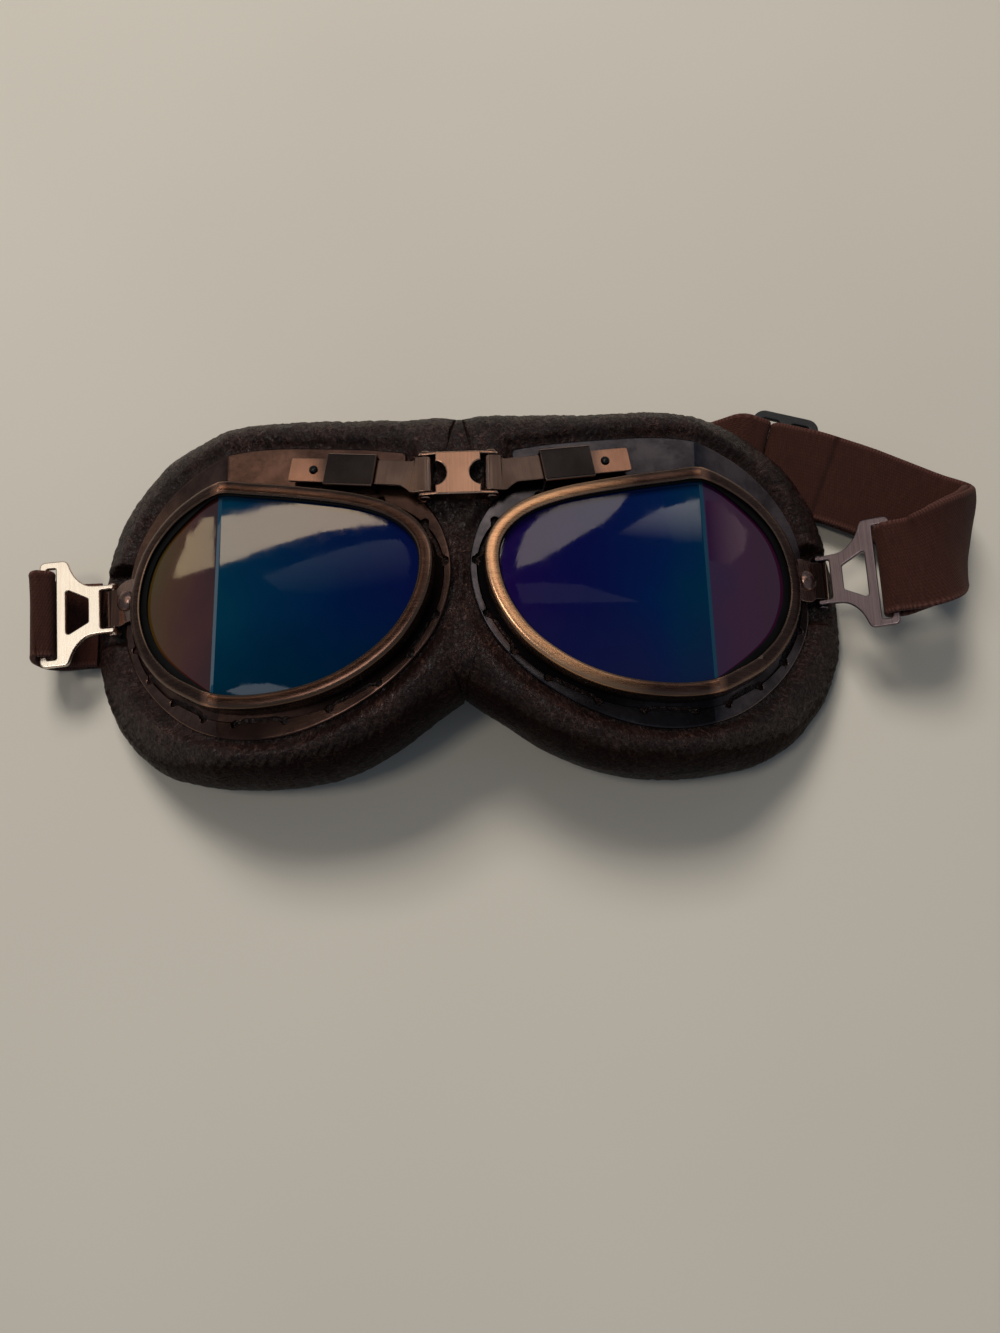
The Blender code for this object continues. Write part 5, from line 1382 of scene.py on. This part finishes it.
def strap():
    def at(x, y=25.0, z=1.0):
        return tuple((np.array((x, y, z)) - ORIGIN) * 0.001)

    pts, wid = run_line(-100.5, -44.0, 70)
    one = strap_piece("strap_run_left", pts, wid, STRAP_W / 2)
    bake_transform(one)
    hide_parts("strap_under_left")
    pts, wid = run_line(-44.0, 0.0, 60)
    two = strap_piece("strap_run_middle_left", pts, wid, STRAP_W / 2, 60.0)
    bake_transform(two)
    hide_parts("strap_under_middle")
    pts, wid = run_line(0.0, 44.0, 60)
    three = strap_piece("strap_run_middle_right", pts, wid, STRAP_W / 2, 105.0)
    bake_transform(three)
    pts, wid = run_line(44.0, 62.0, 24)
    tail = [(66.5, 48.3, 1.3, -0.05, 1.0, 0.0), (71.0, 49.0, 3.4, -0.03, 1.0, 0.03)]
    tail += [tuple(glide(x, 0.0, z)) + tuple(GLIDE_LONG) for x, z in ((-12.0, 2.3), (-8.6, 2.4), (-6.0, 1.95), (-4.9, 0.9), (-4.7, -0.8))]
    allp = np.vstack([np.column_stack([pts, wid / np.linalg.norm(wid, axis=1)[:, None]])[::4], np.array(tail)])
    line = spline(allp, False, 8)
    line[:, 2] = np.maximum(line[:, 2], FLAT)
    # the stretch beside the adjuster is a piece of its own
    cut = int(np.argmax(line[:, 0] > 63.0))
    done = np.linalg.norm(np.diff(line[: cut + 1, :3], axis=0), axis=1).sum()
    four = strap_piece("strap_run_right", line[: cut + 1, :3], line[: cut + 1, 3:], STRAP_W / 2, 150.0)
    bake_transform(four)
    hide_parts("strap_under_right")
    tip = strap_piece("strap_run_tip", line[cut:, :3], line[cut:, 3:], STRAP_W / 2, 150.0 + done)
    near_glide = glide(-9.5, 0.0, 2.3)
    at(near_glide[0], near_glide[1], near_glide[2])
    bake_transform(tip)
    line, wid = left_loop_path()
    five = strap_piece("strap_left_fold", line, wid, STRAP_W / 2 - 0.4, left=True, seam=(5.0,))
    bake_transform(five)
    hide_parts("strap_left_end")
    path, wid = right_loop_path()
    run = np.concatenate([[0], np.cumsum(np.linalg.norm(np.diff(path, axis=0), axis=1))])
    far = path[:, 0]
    bends = [run[i] for i in range(1, len(run) - 1) if far[i] > 130.0 and far[i] >= far[i - 1] and far[i] > far[i + 1]]
    soft = [(at, 5.0, 2.6, 7.6) for at in bends]
    reach = np.nonzero(far > 126.0)[0]
    parts = []
    for name, i, j in (("strap_right_upper", 0, reach[0]), ("strap_right_fold", reach[0], reach[-1]), ("strap_right_lower", reach[-1], len(path) - 1)):
        parts.append(strap_piece(name, path[i: j + 1], wid[i: j + 1], STRAP_W / 2 - 0.2, run[i], seam=(run[-1] - 18.5,), soft=soft))
    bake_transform(parts[0])
    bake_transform(parts[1])
    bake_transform(parts[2])
    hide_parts("strap_right_loop")


def adjuster():
    w, l = 9.4, 15.6
    loop = rounded([(w, -l), (w, l), (-w, l), (-w, -l)], 3.4, 10)
    holes = [rounded([(s * 1.5, -13.2), (s * 6.9, -13.2), (s * 6.9, 13.2), (s * 1.5, 13.2)], 1.2, 6) for s in (-1, 1)]
    return rounded_plate([dense(loop, 0.9)] + [dense(h, 0.9) for h in holes], glide, 1.9, 0.55, 5)


# ---- assembly ------------------------------------------------------------------------------------
for side in ("left", "right"):
    left = side == "left"
    eye, arms, clips = side + "_eye", side + "_arm", side + "_clip"
    put(make(side + "_frame_cup", cup(), CUP_METAL[side], left), eye, [side + "_cup"])
    put(make(side + "_cup_collar", collar(), CUP_METAL[side], left), eye, ())
    put(make(side + "_rim_ring", lens_rim(), RIM_METAL[side], left), eye, [side + "_lens_rim"])
    put(make(side + "_gasket_ring", gasket(), RUBBER, left), eye, [side + "_lens_gasket"])
    put(make(side + "_split_lens", lens(), LENS[side], left), eye, [side + "_lens"])
    put(make(side + "_guide_sleeve", sleeve(), SLEEVE_METAL, left), eye, [side + "_arm_sleeve"])
    put(make(side + "_arm_strip", arm(), ARM_METAL, left), arms, [side + "_bridge_arm"])
    dome = [(0.0, -0.6), (1.15, -0.6), (1.15, 0.42), (1.12, 0.62), (1.0, 0.85), (0.8, 1.05), (0.55, 1.2), (0.28, 1.29), (0.0, 1.32)]
    put(make(side + "_screw_head", lathe(arm_at(SCREW), ARM_E3, dome), BLACK_METAL, left), arms, [side + "_set_screw"])
    put(make(side + "_bracket_strip", bracket(CLIP_Y[side], YAW[side]), BRACKET_METAL, left), eye, [side + "_temple_bracket"])
    slope = unit((FLANGE_SIDE, 0.0, 1.0))
    foot = (RIVET[0], RIVET[1], float(flange_z(RIVET[0])))
    head = [(0.0, 1.15), (2.62, 1.15), (2.74, 1.3), (2.78, 1.55), (2.78, 1.72), (2.6, 2.05), (2.2, 2.4), (1.6, 2.7), (0.85, 2.9), (0.0, 2.97)]
    put(make(side + "_rivet_head", lathe(foot, slope, head), RIVET_METAL, left), eye, [side + "_bracket_rivet"])
    put(make(side + "_clip_plate", clip(side), CLIP_METAL[side], left), clips, [side + "_strap_clip"])
    w = math.radians(YAW[side])
    pin = [(0.0, -7.5), (0.8, -7.45), (1.25, -7.3), (1.4, -7.1), (1.4, -7.0), (0.75, -7.0), (0.75, 7.0), (1.4, 7.0), (1.4, 7.1), (1.25, 7.3), (0.8, 7.45), (0.0, 7.5)]
    put(
        make(side + "_pin_rod", lathe((CLIP_X, CLIP_Y[side], CLIP_Z), (-math.sin(w), math.cos(w), 0), pin, 28), CLIP_METAL[side], left),
        clips, [side + "_clip_pin"],
    )
    l = 5.95
    rod = [(0.0, -l - 0.45), (1.0, -l - 0.42), (1.4, -l - 0.25), (1.5, -l - 0.1), (1.5, -l), (PIN_R, -l), (PIN_R, l), (1.5, l), (1.5, l + 0.1), (1.4, l + 0.25), (1.0, l + 0.42), (0.0, l + 0.45)]
    put(make(side + "_hinge_rod", lathe((HINGE_X, HINGE_Y, HINGE_Z), (0, 1, 0), rod, 32), ARM_METAL, left), "bridge", [side + "_bridge_pin"])
put(make("bridge_saddle", bridge(), TAB_METAL), "bridge", ["bridge_plate"])
put(make("strap_slide", adjuster(), PLASTIC), "strap_slider", ["strap_adjuster"])
leather()
strap()

# ---- floor, light and camera ---------------------------------------------------------------------
bpy.ops.mesh.primitive_plane_add(size=8.0, location=(0.0, 0.0, -0.00006))
floor = bpy.context.object
floor.name = "floor"
g = Graph("floor_pale")
soft = g.noise(g.scale(g.obj(), 1.0), 3.0, 3.0, 0.5)
tint = g.mix(g.range(soft, 0.3, 0.7), (0.49, 0.465, 0.425), (0.54, 0.515, 0.475))
g.bsdf.inputs["Specular IOR Level"].default_value = 0.2
floor.data.materials.append(g.set(Base_Color=tint, Roughness=0.6))

world = bpy.data.worlds.new("room")
bpy.context.scene.world = world
world.use_nodes = True
world.node_tree.nodes["Background"].inputs["Color"].default_value = (0.74, 0.86, 1.0, 1.0)
world.node_tree.nodes["Background"].inputs["Strength"].default_value = 0.20


def light(name, at, to, size, power, colour, size_y):
    data = bpy.data.lights.new(name, "AREA")
    data.shape = "RECTANGLE"
    data.size, data.size_y = size, size_y
    data.energy = power
    data.color = colour
    obj = bpy.data.objects.new(name, data)
    bpy.context.scene.collection.objects.link(obj)
    obj.location = at
    obj.rotation_euler = (Vector(to) - Vector(at)).to_track_quat("-Z", "Y").to_euler()
    return obj


def card(name, points, colour, strength, fade=None):
    """A studio panel over or beside the table. fade is an axis with the places where it is dark and full."""
    mesh = bpy.data.meshes.new(name)
    mesh.from_pydata([tuple(p) for p in points], [], [list(range(len(points)))])
    obj = bpy.data.objects.new(name, mesh)
    bpy.context.scene.collection.objects.link(obj)
    g = Graph(name)
    power = strength
    if fade:
        axis, dark, full = fade
        power = g.math("MULTIPLY", g.range(g.xyz(g.obj())[axis], dark, full), strength, clamp=False)
    g.set(Base_Color=(0.0, 0.0, 0.0, 1.0), Roughness=1.0)
    g.bsdf.inputs["Specular IOR Level"].default_value = 0.0
    g.bsdf.inputs["Emission Color"].default_value = (*colour, 1.0)
    g.put(g.bsdf.inputs["Emission Strength"], power)
    mesh.materials.append(g.mat)
    obj.visible_camera = False
    obj.visible_shadow = False
    return obj


key = light("key", (-0.30, 0.92, 1.15), (0.0, 0.0, 0.0), 0.60, 18.6, (1.0, 0.93, 0.82), 0.50)
key.visible_glossy = False
lamp = light("lamp", (-0.50, -0.11, 1.6), (-0.06, -0.06, 0.0), 0.30, 4.6, (1.0, 0.90, 0.74), 0.24)
lamp.visible_glossy = False
L1 = [
    (-0.918, 0.595), (-0.865, 0.596), (-0.812, 0.6), (-0.754, 0.595), (-0.679, 0.579), (-0.62, 0.552), (-0.588, 0.533),
    (-0.641, 0.536), (-0.715, 0.536), (-0.8, 0.526), (-0.868, 0.513), (-0.913, 0.505),
]
L2 = [
    (-0.823, 0.473), (-0.751, 0.489), (-0.668, 0.502), (-0.605, 0.506), (-0.565, 0.503), (-0.551, 0.486), (-0.546, 0.462),
    (-0.549, 0.416), (-0.676, 0.42), (-0.788, 0.445),
]
L3 = [(-0.885, 0.281), (-0.849, 0.289), (-0.801, 0.286), (-0.749, 0.269), (-0.801, 0.266), (-0.857, 0.271)]
L4 = [
    (0.56, 0.284), (0.555, 0.267), (0.538, 0.258), (0.522, 0.243), (0.499, 0.24), (0.469, 0.229), (0.445, 0.226), (0.474, 0.288),
]
R1 = [
    (0.401, 0.429), (0.405, 0.456), (0.42, 0.493), (0.449, 0.524), (0.492, 0.548), (0.544, 0.562), (0.601, 0.573), (0.587, 0.551),
    (0.556, 0.52), (0.518, 0.496), (0.476, 0.467), (0.442, 0.444),
]
R2 = [
    (0.579, 0.502), (0.621, 0.532), (0.659, 0.555), (0.696, 0.569), (0.734, 0.579), (0.733, 0.524), (0.732, 0.461), (0.652, 0.461),
    (0.609, 0.481),
]
R3 = [(0.4, 0.402), (0.453, 0.409), (0.511, 0.411), (0.578, 0.396), (0.612, 0.39), (0.509, 0.381), (0.411, 0.371)]
R4 = [(0.599, 0.424), (0.587, 0.395), (0.56, 0.375), (0.529, 0.355), (0.495, 0.363), (0.474, 0.39), (0.491, 0.429)]
over = 1.2
card("panel_left", [(x, y, over) for x, y in L1], (1.0, 0.76, 0.50), 4.7)
card("panel_left_dim", [(x, y, over) for x, y in L2], (0.80, 0.92, 1.0), 0.32, (1, 0.425, 0.50))
card("panel_left_low", [(x, y, over) for x, y in L3], (0.9, 0.95, 1.0), 1.0)
card("panel_side_left", [(-1.4, y, z) for y, z in L4], (1.0, 0.80, 0.52), 2.4)
card("panel_right", [(x, y, over) for x, y in R1], (1.0, 0.87, 0.72), 1.5)
card("panel_right_dim", [(x, y, over) for x, y in R2], (1.0, 0.95, 0.90), 1.9, (1, 0.50, 0.58))
card("panel_right_low", [(x, y, over) for x, y in R3], (0.9, 0.9, 1.0), 0.14)
card("panel_side_right", [(1.4, y, z) for y, z in R4], (1.0, 0.85, 0.9), 0.6, (2, 0.43, 0.36))
for made in (
    card("panel_middle", [(-0.42, 0.42, over), (0.34, 0.42, over), (0.34, 0.62, over), (-0.42, 0.62, over)], (1.0, 0.93, 0.86), 1.3),
    card("panel_upper", [(-1.0, 0.63, over), (1.0, 0.63, over), (1.0, 0.84, over), (-1.0, 0.84, over)], (1.0, 0.93, 0.86), 1.2),
    card("panel_nose", [(0.24, 0.24, over), (0.366, 0.24, over), (0.366, 0.60, over), (0.24, 0.60, over)], (1.0, 0.90, 0.78), 3.0),
    card("panel_clip", [(-0.172, -0.008, 0.09), (-0.124, -0.008, 0.09), (-0.124, 0.050, 0.09), (-0.172, 0.050, 0.09)], (1.0, 0.95, 0.86), 0.95),
    card("panel_soft", [(-0.80, -0.35, 1.6), (-0.25, -0.35, 1.6), (-0.25, 0.10, 1.6), (-0.80, 0.10, 1.6)], (1.0, 0.90, 0.82), 6.0),
):
    made.visible_diffuse = False
for name, x0, x1 in (("flag_left", -1.15, -0.45), ("flag_right", 0.36, 1.05)):
    card(name, [(x0, 0.1, 1.22), (x1, 0.1, 1.22), (x1, 0.8, 1.22), (x0, 0.8, 1.22)], (0.0, 0.0, 0.0), 0.0)

F_E, F_YAW, F_ROLL, FOCAL = math.radians(76.0), math.radians(-2.513), math.radians(-4.105), 1001.0
F = np.array((math.sin(F_YAW) * math.cos(F_E), math.cos(F_YAW) * math.cos(F_E), -math.sin(F_E)))
R0 = unit(np.cross(F, (0, 0, 1)))
U0 = np.cross(R0, F)
R = R0 * math.cos(F_ROLL) + U0 * math.sin(F_ROLL)
U = -R0 * math.sin(F_ROLL) + U0 * math.cos(F_ROLL)
camera = bpy.data.cameras.new("camera")
camera.sensor_width = 36.0
camera.lens = FOCAL / 1333.0 * 36.0
camera.clip_start = 0.01
eye_obj = bpy.data.objects.new("camera", camera)
bpy.context.scene.collection.objects.link(eye_obj)
m = Matrix.Identity(4)
for i, axis in enumerate((R, U, -F)):
    for k in range(3):
        m[k][i] = axis[k]
place = (np.array((11.490, -75.535, 269.664)) - ORIGIN) * 0.001
for k in range(3):
    m[k][3] = place[k]
eye_obj.matrix_world = m
bpy.context.scene.camera = eye_obj

bpy.context.scene.view_settings.view_transform = "Standard"
